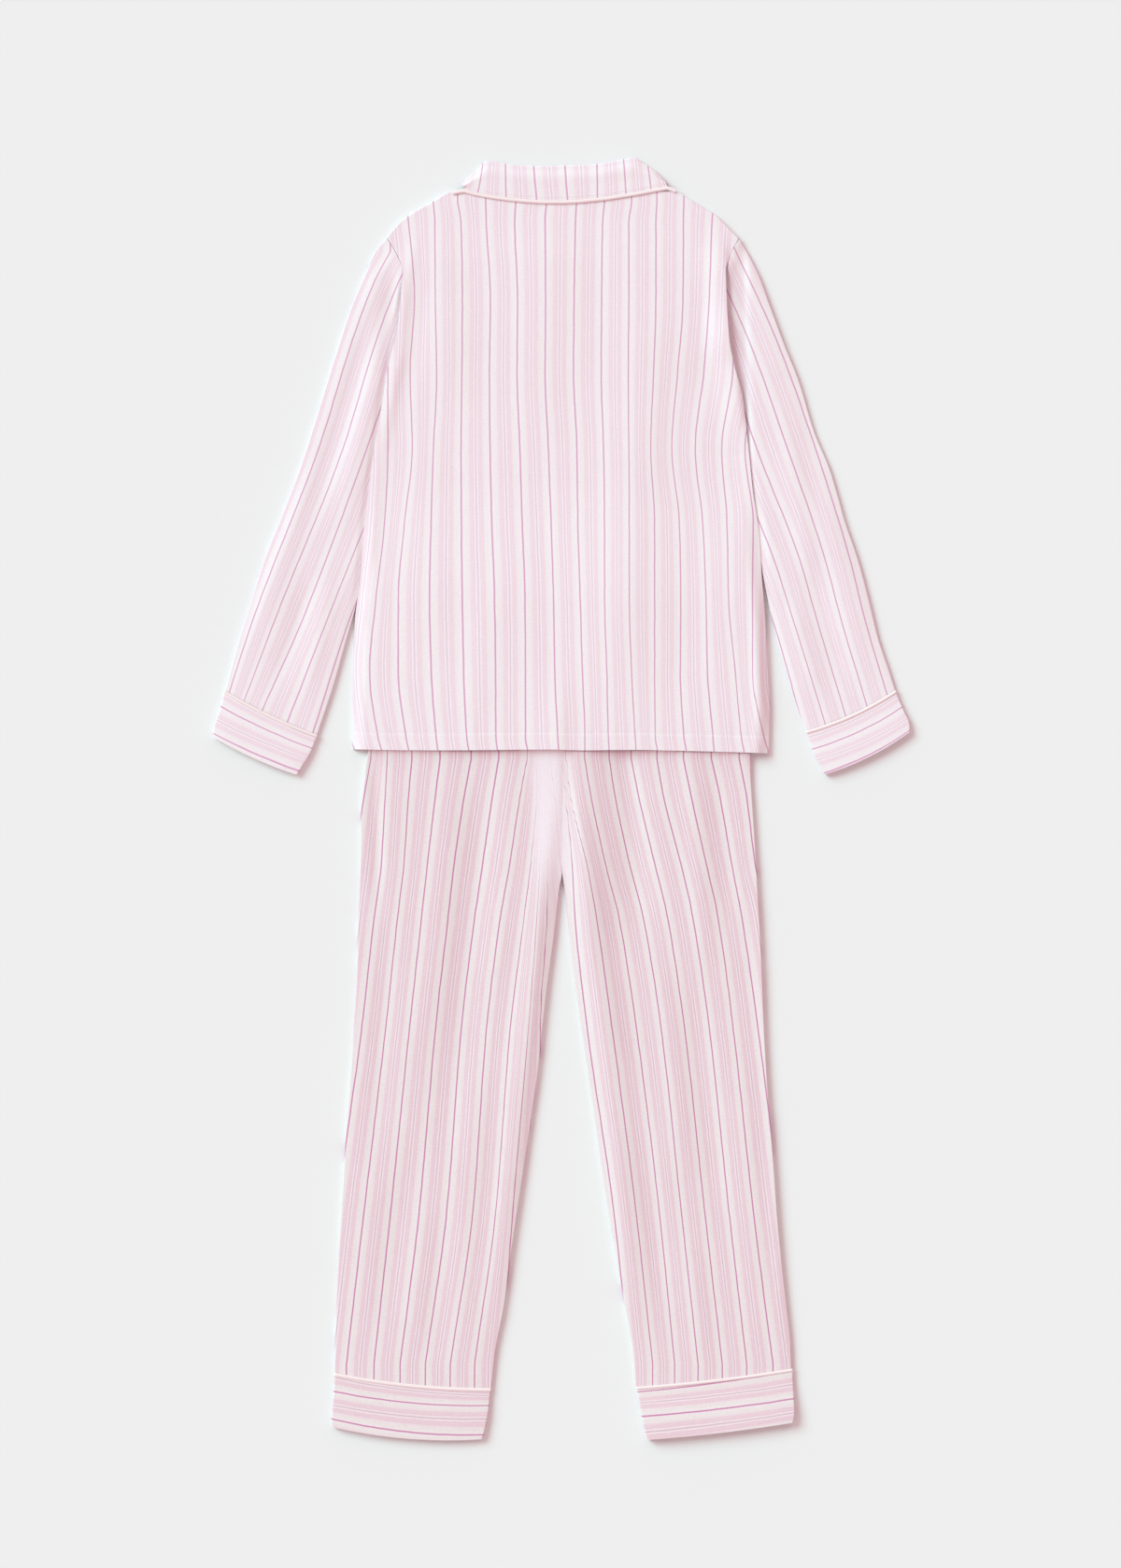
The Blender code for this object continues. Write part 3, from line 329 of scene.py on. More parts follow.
def stripe_number(rows, x, y):
    """Which stripe crosses each point, counted in repeats of the pattern."""
    first = min(row.first for row in rows) - STRIPES_BEYOND
    last = max(row.first + len(row.places) for row in rows) + STRIPES_BEYOND
    lines = np.arange(first, last)
    table = []
    for row in rows:
        places = np.array(row.places)
        numbers = row.first + np.arange(len(places))
        inside = np.interp(lines, numbers, places)
        before = np.minimum(lines - numbers[0], 0) * STRIPE_REPEAT
        after = np.maximum(lines - numbers[-1], 0) * STRIPE_REPEAT
        table.append(inside + before + after)
    keys = [row.y for row in rows]
    paths = [curve_through(keys, column, y) for column in np.array(table).T]
    total = np.full_like(x, float(first))
    for path, neighbour in zip(paths, paths[1:]):
        total += np.clip((x - path) / (neighbour - path), 0.0, 1.0)
    return total


def rest_height(x, y):
    """How high the trousers hold the shirt."""
    side = np.minimum(x - body_left(y), body_right(y) - x)
    past_waist = soft_step(WAISTBAND_TOP, WAISTBAND_TOP + WAIST_DROOP, y)
    laid = SHIRT_REST * soft_step(0.0, SHIRT_DROOP, side) * (1.0 - past_waist)
    return laid + crease_height((SEAT_RIDGE,), x, y)


def chest_rise(y):
    """How far the collar's leaves lift the shirt."""
    return CHEST_RISE * soft_step(LEAF_REACH - CHEST_RAMP, LEAF_REACH, y)


def back_form(x, y):
    """Upper face of the back as its solid has it, without the back's own creases."""
    bulge = np.clip(1.0 - (x / BACK_HALF_WIDTH) ** 2, 0.0, 1.0) ** 1.5
    crown = BACK_CROWN + (NECK_CROWN - BACK_CROWN) * soft_step(FRONT_NECK, FRONT_NECK + NECK_RAMP, y)
    return rest_height(x, y) + chest_rise(y) + BACK_EDGE_HEIGHT + crown * bulge


def hem_relief(x, above):
    """The turned cloth of a hem, drawn in along its stitching, with small puckers on both sides."""
    past = above - HEM_DEPTH
    turned_up = HEM_RISE * (1.0 - soft_step(*HEM_TURN_RAMP, past))
    groove = -HEM_GROOVE * np.exp(-((past / HEM_GROOVE_WIDTH) ** 2))
    ripple = np.sin(x / 1.9 + 1.3 * np.sin(x / 11.0)) * 0.6 + np.sin(x / 3.7 + 2.0) * 0.4
    pucker = HEM_PUCKER * ripple * np.exp(-((past / HEM_PUCKER_REACH) ** 2))
    return turned_up + groove + pucker


def back_top(x, y):
    return back_form(x, y) + crease_height(BACK_CREASES, x, y) + hem_relief(x, y - hem_line(x))


def shares_across(count, width):
    """Even shares of a width, with one more close to each end that holds the roll there tight."""
    share = np.linspace(0.0, 1.0, count)
    hold = ROLL_HOLD / width
    return np.concatenate([[0.0, hold], share[1:-1], [1.0 - hold, 1.0]])


def across_lines(width, step):
    """The lines of a panel between its two sides: the inset from the left side, the share of the
    width added to it, and the share of the height that is lost as the side turns under."""
    angles = np.radians(np.arange(0.0, 90.0, ROLL_TURN))
    inset = ROLL * (1.0 - np.cos(angles))
    drop = 1.0 - np.sin(angles)
    share = shares_across(round((width - 2.0 * ROLL) / step) + 1, width)
    insets = np.concatenate([inset, ROLL * (1.0 - 2.0 * share), -inset[::-1]])
    shares = np.concatenate([np.zeros_like(inset), share, np.ones_like(inset)])
    drops = np.concatenate([drop, np.zeros_like(share), drop[::-1]])
    return insets, shares, drops


Panel = namedtuple("Panel", "left right bottom top fold_left fold_right fold_top height low_rows")


def panel_points(panel, width, length, step):
    """Points of a panel's upper face, line by line from its left side, each from its bottom up."""
    insets, shares, drops = across_lines(width, step)

    def across(y):
        shape = (-1,) + (1,) * (y.ndim - 1)
        left = panel.left(y)
        return left + insets.reshape(shape) + shares.reshape(shape) * (panel.right(y) - left)

    low = panel.bottom(np.zeros_like(insets))
    high = panel.top(np.zeros_like(insets))
    for _ in range(EDGE_PASSES):
        low = panel.bottom(across(low))
        high = panel.top(across(high))
    low, high = low[:, None], high[:, None]
    angles = np.radians(np.arange(90.0 - ROLL_TURN, -1.0, -ROLL_TURN))
    start = low + panel.low_rows[-1]
    share = np.linspace(0.0, 1.0, round(length / step))[1:]
    share = np.append(share[:-1], [1.0 - ROLL_HOLD / length, 1.0])
    y = np.concatenate([
        low + np.array(panel.low_rows), start + (high - ROLL - start) * share,
        high - ROLL * (1.0 - np.cos(angles)),
    ], axis=1)
    x = across(y)
    row_drop = np.concatenate([np.zeros(y.shape[1] - len(angles)), 1.0 - np.sin(angles)])
    side = np.where(shares[:, None] < 0.5, panel.fold_left(y), panel.fold_right(y))
    keep = (1.0 - side * drops[:, None]) * (1.0 - panel.fold_top(x) * row_drop)
    return np.stack([x, y, panel.height(x, y) * keep], axis=2)


def new_piece(name, points, faces, finish):
    """An object with a mesh of these points, in millimetres, and these faces."""
    mesh = bpy.data.meshes.new(name)
    mesh.from_pydata((points * MM).tolist(), [], faces)
    mesh.materials.append(finish)
    piece = bpy.data.objects.new(name, mesh)
    bpy.context.scene.collection.objects.link(piece)
    return piece


def shape_with(piece, kind, **settings):
    """Add a modifier of this kind with these settings to the piece, and apply it."""
    bpy.context.view_layer.objects.active = piece
    modifier = piece.modifiers.new("shaping", kind)
    for setting, value in settings.items():
        setattr(modifier, setting, value)
    bpy.ops.object.modifier_apply(modifier=modifier.name)


def cloth_piece(name, points, stripes, along, finish, wall=CLOTH, ring=False):
    """A closed shell of cloth, one wall thick, whose outer face goes through a grid of points.

    Its own map, called cloth, holds the stripe's number and the metres along the stripes. In a ring
    the last place of each line joins its first one, and the map has one place more."""
    lines, places = points.shape[:2]
    columns = places if ring else places - 1
    corners = ((0, 0), (1, 0), (1, 1), (0, 1))
    if ring:
        onward = np.gradient(points, axis=0)
        round_it = np.roll(points, -1, axis=1) - points
        outward = points - points.mean(axis=1, keepdims=True)
        if np.sum(np.cross(onward, round_it) * outward) < 0.0:
            corners = corners[::-1]
    line, place = np.meshgrid(np.arange(lines - 1), np.arange(columns), indexing="ij")
    faces = [(line + over) * places + (place + up) % places for over, up in corners]
    flat_map = np.stack([stripes, along], axis=2)
    spots = [flat_map[over:over + lines - 1, up:up + columns] for over, up in corners]
    piece = new_piece(name, points.reshape(-1, 3), np.stack(faces, axis=2).reshape(-1, 4).tolist(), finish)
    piece.data.uv_layers.new(name="cloth").data.foreach_set("uv", np.stack(spots, axis=2).ravel())
    bpy.ops.object.select_all(action="DESELECT")
    piece.select_set(True)
    shape_with(piece, "SOLIDIFY", thickness=wall * MM, offset=-1.0, use_quality_normals=True)
    piece.data.shade_smooth()
    piece.data.set_sharp_from_angle(angle=math.radians(SHARP_FOLD))
    return piece


class Signal:
    """A number or colour on its way through a material's nodes. Arithmetic on it adds nodes."""

    def __init__(self, tree, node, output=0):
        self.tree = tree
        self.node = node
        self.socket = node.outputs[output]

    @classmethod
    def make(cls, tree, kind, settings=(), sockets=(), output=0):
        """Add a node with these settings and with these values or signals in its sockets."""
        node = tree.nodes.new(kind)
        for name, value in dict(settings).items():
            if name == "stops":
                ramp = node.color_ramp
                for place, colour in value[:-2]:
                    ramp.elements.new(place).color = colour
                for element, (place, colour) in zip((ramp.elements[0], ramp.elements[-1]), value[-2:]):
                    element.position = place
                    element.color = colour
            else:
                setattr(node, name, value)
        for name, value in dict(sockets).items():
            if isinstance(value, Signal):
                tree.links.new(value.socket, node.inputs[name])
            else:
                node.inputs[name].default_value = value
        return cls(tree, node, output)

    def part(self, output):
        return Signal(self.tree, self.node, output)

    def maths(self, operation, *others):
        sockets = dict(enumerate((self, *others)))
        return Signal.make(self.tree, "ShaderNodeMath", {"operation": operation}, sockets)

    def __add__(self, other):
        return self.maths("ADD", other)

    def __sub__(self, other):
        return self.maths("SUBTRACT", other)

    def __rsub__(self, other):
        return Signal.make(self.tree, "ShaderNodeMath", {"operation": "SUBTRACT"}, {0: other, 1: self})

    def __mul__(self, other):
        return self.maths("MULTIPLY", other)

    __radd__ = __add__
    __rmul__ = __mul__


def noise(tree, vector, scale, detail):
    """Soft noise from 0 to 1, with its middle at one half."""
    return Signal.make(
        tree, "ShaderNodeTexNoise", {"noise_dimensions": "3D"},
        {"Vector": vector, "Scale": scale, "Detail": detail, "Roughness": 0.55},
    )


def mixed(tree, amount, first, second, blend="MIX"):
    """From the first colour to the second one, or the first one multiplied by it, by this amount."""
    return Signal.make(
        tree, "ShaderNodeMix", {"data_type": "RGBA", "blend_type": blend},
        {0: amount, 6: first, 7: second}, output=2,
    )


def add_relief(tree, shader, strength, distance, height):
    """Small bumps of this height, in millimetres, in a finish."""
    bump = Signal.make(
        tree, "ShaderNodeBump", sockets={"Strength": strength, "Distance": distance * MM, "Height": height},
    )
    tree.links.new(bump.socket, shader.inputs["Normal"])


# The colours of the woven stripes.
EDGE_WHITE = (0.907, 0.840, 0.863, 1.0)
OFF_WHITE = (0.885, 0.828, 0.842, 1.0)
WARM_WHITE = (0.901, 0.821, 0.847, 1.0)
PALE_PINK = (0.883, 0.754, 0.807, 1.0)
PINK = (0.869, 0.703, 0.769, 1.0)
HAIRLINE = (0.921, 0.828, 0.867, 1.0)
MAUVE = (0.785, 0.640, 0.712, 1.0)
DARK_LINE = (0.713, 0.383, 0.571, 1.0)
# One repeat of them, from one dark line to the next, with its two ends last.
STRIPE_STOPS = (
    (0.017, DARK_LINE), (0.036, EDGE_WHITE), (0.11, EDGE_WHITE), (0.14, OFF_WHITE), (0.19, OFF_WHITE),
    (0.22, WARM_WHITE), (0.275, PALE_PINK), (0.315, PINK), (0.345, PALE_PINK), (0.365, PINK),
    (0.41, PINK), (0.435, HAIRLINE), (0.465, HAIRLINE), (0.488, MAUVE), (0.512, MAUVE),
    (0.535, HAIRLINE), (0.565, HAIRLINE), (0.595, PINK), (0.625, PINK), (0.645, PALE_PINK),
    (0.665, PINK), (0.695, PINK), (0.73, PALE_PINK), (0.78, WARM_WHITE), (0.81, OFF_WHITE),
    (0.86, OFF_WHITE), (0.89, EDGE_WHITE), (0.966, EDGE_WHITE), (0.983, DARK_LINE),
    (0.0, DARK_LINE), (1.0, DARK_LINE),
)
SHIRT_TINT = (1.018, 1.006, 1.008, 1.0)
# Painted highlight: the bluish white that the stripes fade to beside the trousers' seat seam.
SEAT_HIGHLIGHT_WHITE = (0.930, 0.835, 0.905, 1.0)
WORN_TINT = (0.873, 0.864, 0.872, 1.0)
SHEEN_TINT = (1.0, 0.92, 0.94, 1.0)


def striped_cotton(name, tint, depth=1.0, seat_highlight=False):
    """Brushed cotton with woven stripes that follow the piece's own map, soft and a little fuzzy.

    Depth is a power that deepens the colours. If asked, the piece's own pale value fades its stripes
    towards a painted highlight."""
    finish, tree, shader = new_finish(name, {
        "Specular IOR Level": 0.25, "Sheen Weight": 0.12, "Sheen Roughness": 0.45, "Sheen Tint": SHEEN_TINT,
    })
    spot = Signal.make(tree, "ShaderNodeUVMap", {"uv_map": "cloth"})
    number = Signal.make(tree, "ShaderNodeSeparateXYZ", sockets={0: spot}, output="X")
    along = number.part("Y")
    place = Signal.make(tree, "ShaderNodeTexCoord", output="Object")

    def stretched(across_scale, along_scale):
        sockets = {"X": number * across_scale, "Y": along * along_scale}
        return Signal.make(tree, "ShaderNodeCombineXYZ", sockets=sockets)

    drift = noise(tree, stretched(0.4, 45.0), 1.0, 1.0)
    fraction = (number + (drift - 0.5) * 0.03).maths("FRACT")
    stripe = Signal.make(tree, "ShaderNodeValToRGB", {"stops": STRIPE_STOPS}, {0: fraction})
    stripe = Signal.make(tree, "ShaderNodeGamma", sockets={"Color": stripe, "Gamma": depth})
    yarn = noise(tree, stretched(42.0, 60.0), 1.0, 3.0)
    weft = noise(tree, stretched(8.0, 520.0), 1.0, 2.0)
    nap = noise(tree, place, 330.0, 3.0)
    patch = noise(tree, place, 42.0, 2.0)
    shade = yarn * 0.38 + weft * 0.38 + nap * 0.16 + patch * 0.08
    shade = ((shade - 0.5) * 2.6 * depth + 0.5).maths("MINIMUM", 1.0).maths("MAXIMUM", 0.0)
    # Painted highlight: the pale value fades the stripes to bluish white beside the seat seam, where its
    # ridge faces the light.
    if seat_highlight:
        amount = Signal.make(tree, "ShaderNodeAttribute", {"attribute_name": "pale"}, output="Fac")
        stripe = mixed(tree, amount, stripe, SEAT_HIGHLIGHT_WHITE)
    tinted = mixed(tree, 1.0, stripe, tint, "MULTIPLY")
    worn = mixed(tree, shade * 0.8, tinted, WORN_TINT, "MULTIPLY")
    fuzz = noise(tree, place, 1500.0, 2.0)
    tree.links.new(worn.socket, shader.inputs["Base Color"])
    tree.links.new((0.8 + nap * 0.16).socket, shader.inputs["Roughness"])
    add_relief(tree, shader, 0.35, 0.35, yarn * 0.35 + weft * 0.25 + fuzz * 0.4)
    return finish


def fasten(piece, node):
    """Hide the solid that a piece stands for, and attach the piece to the root."""
    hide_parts(node)
    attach(piece, "root")


def travelled(points):
    """How far each point lies along a line of points."""
    steps = np.linalg.norm(np.diff(points, axis=0), axis=1)
    return np.concatenate([[0.0], np.cumsum(steps)])


def stitch_row(name, path, finish):
    """A row of stitches on a path of points, each a short, soft bar that dips in at both ends."""
    keys = travelled(path)
    vertices, faces = [], []
    for number in range(int(keys[-1] / STITCH_GAP)):
        middle = (number + 0.5) * STITCH_GAP
        ends = [
            np.array([np.interp(place, keys, column) for column in path.T])
            for place in (middle - STITCH_LENGTH / 2.0, middle + STITCH_LENGTH / 2.0)
        ]
        run = (ends[1] - ends[0]) / STITCH_LENGTH
        side = np.array([-run[1], run[0], 0.0])
        base = len(vertices)
        for share, girth, lift in STITCH_RINGS:
            centre = ends[0] + run * STITCH_LENGTH * share + np.array([0.0, 0.0, lift])
            for turn in range(STITCH_SIDES):
                angle = math.radians(360.0 / STITCH_SIDES * turn)
                push = side * math.cos(angle) + np.array([0.0, 0.0, math.sin(angle)])
                vertices.append(centre + push * girth * STITCH_WIDTH / 2.0)
        for ring in range(len(STITCH_RINGS) - 1):
            for turn in range(STITCH_SIDES):
                after = (turn + 1) % STITCH_SIDES
                low = base + ring * STITCH_SIDES
                high = low + STITCH_SIDES
                faces.append((low + turn, low + after, high + after, high + turn))
        for start in (base, high):
            faces.append(tuple(start + turn for turn in range(STITCH_SIDES)))
    piece = new_piece(name, np.array(vertices), faces, finish)
    shell = bmesh.new()
    shell.from_mesh(piece.data)
    bmesh.ops.recalc_face_normals(shell, faces=shell.faces)
    shell.to_mesh(piece.data)
    shell.free()
    piece.data.shade_smooth()
    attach(piece, "root")
    return piece


def plain_cotton(name, colour, roughness):
    """Plain woven cotton, for piping and thread."""
    finish, tree, shader = new_finish(name, {"Roughness": roughness, "Sheen Weight": 0.15})
    place = Signal.make(tree, "ShaderNodeTexCoord", output="Object")
    weave = noise(tree, place, 1400.0, 2.0)
    patch = noise(tree, place, 120.0, 2.0)
    uneven = mixed(tree, (weave + patch) * 0.3, colour, UNEVEN_TINT, "MULTIPLY")
    tree.links.new(uneven.socket, shader.inputs["Base Color"])
    add_relief(tree, shader, 0.3, 0.2, weave)
    return finish


THREAD_WHITE = (0.90, 0.84, 0.86, 1.0)
UNEVEN_TINT = (0.92, 0.88, 0.89, 1.0)
striped_finish = striped_cotton("striped_cotton", SHIRT_TINT)
thread_finish = plain_cotton("white_thread", THREAD_WHITE, 0.6)


def shoulder_fold(x):
    """The shoulders turn under, and the neckline between them doesn't."""
    return soft_step(*NECK_FOLD_RAMP, np.abs(x - SEAT_X))


def panel_piece(name, panel, width, length, stripe_rows, finish, step=MESH_STEP):
    """A cloth piece from a panel of about this width and length, which set the count of its lines."""
    points = panel_points(panel, width, length, step)
    x, y = points[:, :, 0], points[:, :, 1]
    return cloth_piece(name, points, stripe_number(stripe_rows, x, y), y * MM, finish)


def beside_sleeve(y):
    """0 below the sleeves and 1 where they lie beside the body."""
    return soft_step(SLEEVE_LOWEST, SLEEVE_LOWEST + SLEEVE_RAMP, y)


def side_fold(y):
    """The body's sides turn under below the sleeves, and not beside them."""
    return 1.0 - beside_sleeve(y)


shirt_back = panel_piece("shirt_back_cloth", Panel(
    left=body_left, right=body_right, bottom=hem_line, top=shoulder_line,
    fold_left=side_fold, fold_right=side_fold, fold_top=shoulder_fold, height=back_top, low_rows=HEM_ROWS,
), BACK_WIDTH, BACK_LENGTH, BACK_STRIPES, striped_finish)
fasten(shirt_back, "shirt_back")
hem_x = np.arange(
    body_left(HEM_STITCH_Y) + HEM_STITCH_INSET, body_right(HEM_STITCH_Y) - HEM_STITCH_INSET, HEM_STITCH_STEP,
)
hem_y = hem_line(hem_x) + HEM_DEPTH
hem_path = np.stack([hem_x, hem_y, back_top(hem_x, hem_y) + STITCH_LIFT], axis=1)
hem_stitches = stitch_row("hem_stitches", hem_path, thread_finish)

# Shirt fronts
# Two pieces of the same cotton under the back, lapped at the middle with the wearer's right front
# nearest the surface. They are hidden and plain.
FRONT_INSET = 4.0
FRONT_HEM_INSET = 2.4
FRONT_LAP = 12.0
NECK_CURVE = 1.6
NECK_SIDE = 613.0
BUTTON_RISE = 1.9
LAP_RAMP = (FRONT_LAP + 1.5, FRONT_LAP + 18.0)
LAYER_GAP = 0.3
HIDDEN_STEP = 7.0
FRONT_WIDTH = 220.0
FRONT_LENGTH = 560.0


def none(values):
    return np.zeros_like(values)


def front_upper_edge(x):
    """The shoulder, then down round the neck to the front."""
    beside = np.abs(x - SEAT_X) / NECK_HALF_WIDTH
    neckline = FRONT_NECK + (NECK_SIDE - FRONT_NECK) * np.minimum(beside, 1.0) ** NECK_CURVE
    return np.where(beside >= 1.0, shoulder_line(x) - FRONT_INSET, neckline)


def front_top(side):
    """Upper face of a front: the right one lies on the buttons, the left one on the right one."""
    lift = BUTTON_RISE if side > 0.0 else BUTTON_RISE + CLOTH + LAYER_GAP

    def height(x, y):
        lap = lift * (1.0 - soft_step(*LAP_RAMP, side * x))
        return rest_height(x, y) + chest_rise(y) + lap + CLOTH

    return height


for name, side, left, right in (
    ("shirt_front_left", -1.0, lambda y: body_left(y) + FRONT_INSET, lambda y: np.full_like(y, FRONT_LAP)),
    ("shirt_front_right", 1.0, lambda y: np.full_like(y, -FRONT_LAP), lambda y: body_right(y) - FRONT_INSET),
):
    front = panel_piece(f"{name}_cloth", Panel(
        left=left, right=right, bottom=lambda x: hem_line(x) + FRONT_HEM_INSET, top=front_upper_edge,
        fold_left=none, fold_right=none, fold_top=none, height=front_top(side), low_rows=(0.0, 4.0),
    ), FRONT_WIDTH, FRONT_LENGTH, BACK_STRIPES, striped_finish, HIDDEN_STEP)
    fasten(front, name)

# Collar leaves
# The two ends of the collar, of the same cotton and cut in one with the part that falls on the back.
# They lie flat on the surface under the fronts and are hidden.
Leaf = namedtuple("Leaf", "neck_x neck_y free_x free_y")
LEAF = (
    Leaf(101.0, 606.0, 121.0, 600.0),
    Leaf(80.0, 583.0, 106.0, 570.0),
    Leaf(60.0, 564.0, 92.0, 541.0),
    Leaf(38.0, 549.0, 77.0, 513.0),
    Leaf(15.0, 539.0, 62.0, 487.0),
)
LEAF_COLUMNS = 9
for name, side in (("collar_leaf_left", -1.0), ("collar_leaf_right", 1.0)):
    rows = np.array(LEAF)[::int(-side)]
    share = np.linspace(0.0, 1.0, LEAF_COLUMNS)
    x = SEAT_X + side * (rows[:, 0:1] + (rows[:, 2:3] - rows[:, 0:1]) * share)
    y = rows[:, 1:2] + (rows[:, 3:4] - rows[:, 1:2]) * share
    points = np.stack([x, y, np.full_like(x, CLOTH)], axis=2)[:, ::-1]
    leaf = cloth_piece(f"{name}_cloth", points, stripe_number(BACK_STRIPES, x, y), y * MM, striped_finish)
    fasten(leaf, name)

# Buttons
# Five flat four-hole buttons of pale plastic, with a dished middle that faces the surface. They are
# sewn to the left front and hidden between the fronts.
BUTTON_DIAMETER = 11.5
BUTTON_THICKNESS = 1.6
BUTTON_COUNT = 5
BUTTON_FIRST = 448.0
BUTTON_PITCH = 90.0
BUTTON_SIDES = 40
BUTTON_RIM = 1.5
BUTTON_DISH = 0.3  # how deep the middle is dished, over the same width
BUTTON_SOFTNESS = 0.2
BEVELLED_FROM = 50.0  # degrees between faces
BUTTON_SHARP = 35.0
HOLE_SIDES = 12
HOLE_DIAMETER = 1.5
HOLE_SPREAD = 1.6
PEARL_DEEP = (0.86, 0.80, 0.81, 1.0)
PEARL_PALE = (0.93, 0.90, 0.90, 1.0)
button_finish, tree, shader = new_finish("pale_button", {})
grain = noise(tree, Signal.make(tree, "ShaderNodeTexCoord", output="Object"), 260.0, 3.0)
tree.links.new(mixed(tree, grain, PEARL_DEEP, PEARL_PALE).socket, shader.inputs["Base Color"])
tree.links.new((0.24 + grain * 0.12).socket, shader.inputs["Roughness"])


def add_cylinder(sides, radius, depth, x, y, z):
    bpy.ops.object.select_all(action="DESELECT")
    bpy.ops.mesh.primitive_cylinder_add(
        vertices=sides, radius=radius * MM, depth=depth * MM, location=(x * MM, y * MM, z * MM),
    )
    return bpy.context.object


button_reach = BUTTON_DIAMETER / 2.0
for number in range(BUTTON_COUNT):
    y = BUTTON_FIRST - number * BUTTON_PITCH
    rest = rest_height(np.array(SEAT_X), np.array(y + button_reach))
    middle = float(rest + chest_rise(np.array(y - button_reach)) + BUTTON_THICKNESS / 2.0)
    button = add_cylinder(BUTTON_SIDES, button_reach, BUTTON_THICKNESS, SEAT_X, y, middle)
    button.name = f"button_{number + 1}_pale"
    bpy.ops.object.mode_set(mode="EDIT")
    bpy.ops.mesh.select_all(action="DESELECT")
    bpy.ops.object.mode_set(mode="OBJECT")
    for face in button.data.polygons:
        face.select = face.normal.z < -0.5
    bpy.ops.object.mode_set(mode="EDIT")
    bpy.ops.mesh.inset(thickness=BUTTON_RIM * MM)
    bpy.ops.mesh.inset(thickness=BUTTON_DISH * MM, depth=-BUTTON_DISH * MM)
    bpy.ops.object.mode_set(mode="OBJECT")
    bpy.ops.object.transform_apply(location=True, rotation=True, scale=True)
    for across in (-1.0, 1.0):
        for up in (-1.0, 1.0):
            drill = add_cylinder(
                HOLE_SIDES, HOLE_DIAMETER / 2.0, BUTTON_THICKNESS * 3.0,
                SEAT_X + across * HOLE_SPREAD, y + up * HOLE_SPREAD, middle,
            )
            shape_with(button, "BOOLEAN", operation="DIFFERENCE", object=drill)
            bpy.data.objects.remove(drill, do_unlink=True)
    shape_with(
        button, "BEVEL", width=BUTTON_SOFTNESS * MM, segments=2, limit_method="ANGLE",
        angle_limit=math.radians(BEVELLED_FROM),
    )
    button.data.shade_smooth()
    button.data.set_sharp_from_angle(angle=math.radians(BUTTON_SHARP))
    button.data.materials.append(button_finish)
    fasten(button, f"button_{number + 1}")

# Sleeves
# Each is one piece of the striped cotton sewn into the armhole, a tube pressed flat with its seam at
# the underarm. Beside the body it dips under the body's side fold.
TUBE_ROLL = 0.9
TUBE_TURN = 18.0  # degrees between the lines round a tube's rolled sides
SEAM_GAP = 0.03
ARMHOLE_LINE = 0.35  # the armhole's seam shows as a line this much wider
ARMHOLE_LINE_RAMP = 8.0
ARMHOLE_REACH = 8.0  # the sleeve comes level with the body over this width
ARMHOLE_RAMP = (-40.0, -5.0)
SEAM_START_LEFT = 548.0  # above this y the sleeve is level with the back
SEAM_START_RIGHT = 562.0
LOW_LEVEL_LEFT = 0.15  # share of the way that it is still level below that
LOW_LEVEL_RIGHT = 0.0
FOLLOW_REACH = 0.25  # share of the width that takes on the line of the armhole
SLEEVE_TIGHT = 0.1  # share of the roll on the side that meets the body
SLEEVE_EDGE_HEIGHT = 4.4
SLEEVE_SLOPE = 14.0  # from the outer edge to the full height

Sleeve = namedtuple("Sleeve", "outer_x outer_y inner_x inner_y crest dip follow bow", defaults=(0.0, 0.0))
SLEEVE_LEFT = (
    Sleeve(-177.3, 570.2, None, 543.5, 5.2, 4, 1),
    Sleeve(-188, 557.5, None, 528, 6, 5, 0.4),
    Sleeve(-199, 533.4, None, 499, 6.2, 6),
    Sleeve(-213.8, 499.2, None, 463, 6.2, 8),
    Sleeve(-229.4, 449.8, None, 410, 6.2, 8),
    Sleeve(-246, 397.6, None, 357, 6, 6),
    Sleeve(-263.8, 340.6, None, 300, 6, 6),
    Sleeve(-282.1, 292.1, None, 252, 6, 6),
    Sleeve(-300.3, 246.5, None, 208, 6, 6),
    Sleeve(-315.4, 199, -219.9, 155.3, 5.8, 8),
    Sleeve(-328.2, 159.1, -231.3, 114.5, 5.6, 8, 0, 1.2),
    Sleeve(-341.4, 110.6, -247.6, 65.3, 5.2, 8, 0, 2.4),
)
SLEEVE_RIGHT = (
    Sleeve(181.1, 569.4, None, 549.6, 5.4, 4, 1),
    Sleeve(190.6, 553.4, None, 530, 6.4, 8, 0.3),
    Sleeve(201.8, 530.6, None, 508.7, 6.4, 11),
    Sleeve(212.6, 501.1, None, 478.3, 6.4, 12),
    Sleeve(227.4, 461.2, None, 437.5, 6.4, 13),
    Sleeve(241.8, 425.1, None, 400.4, 6.4, 8),
    Sleeve(257, 374.8, None, 347.2, 6.4, 6),
    Sleeve(274.1, 333, None, 299.7, 6.4, 9),
    Sleeve(281.3, 308.8, None, 271, 6.4, 10),
    Sleeve(288.3, 283.6, None, 242.7, 6.4, 11),
    Sleeve(302.6, 241.8, 209.8, 204.7, 6.2, 11),
    Sleeve(314, 199, 219, 162.9, 6, 9),
    Sleeve(322.5, 163.9, 230.4, 124.9, 5.8, 8),
    Sleeve(333.9, 129.7, 241.8, 88.8, 5.4, 8, 0, 2),
    Sleeve(339.8, 111, 248.7, 69.5, 5.2, 8, 0, 4),
)
SLEEVE_LEFT_STRIPES = (
    Stripes(60, 0, (-352.5, -337.1, -317.2, -285.1, -254.5)),
    Stripes(90.7, 0, (-342.5, -325.4, -303.5, -273.1, -244.6)),
    Stripes(185.7, 0, (-311.6, -289.3, -261.2, -236.1, -213.8)),
    Stripes(356.7, 0, (-246, -221.3, -197.1)),
    Stripes(470.7, 0, (-210.4, -186.2)),
    Stripes(527.7, 0, (-188.6, -163.9)),
    Stripes(556.2, 0, (-173.4, -148)),
)
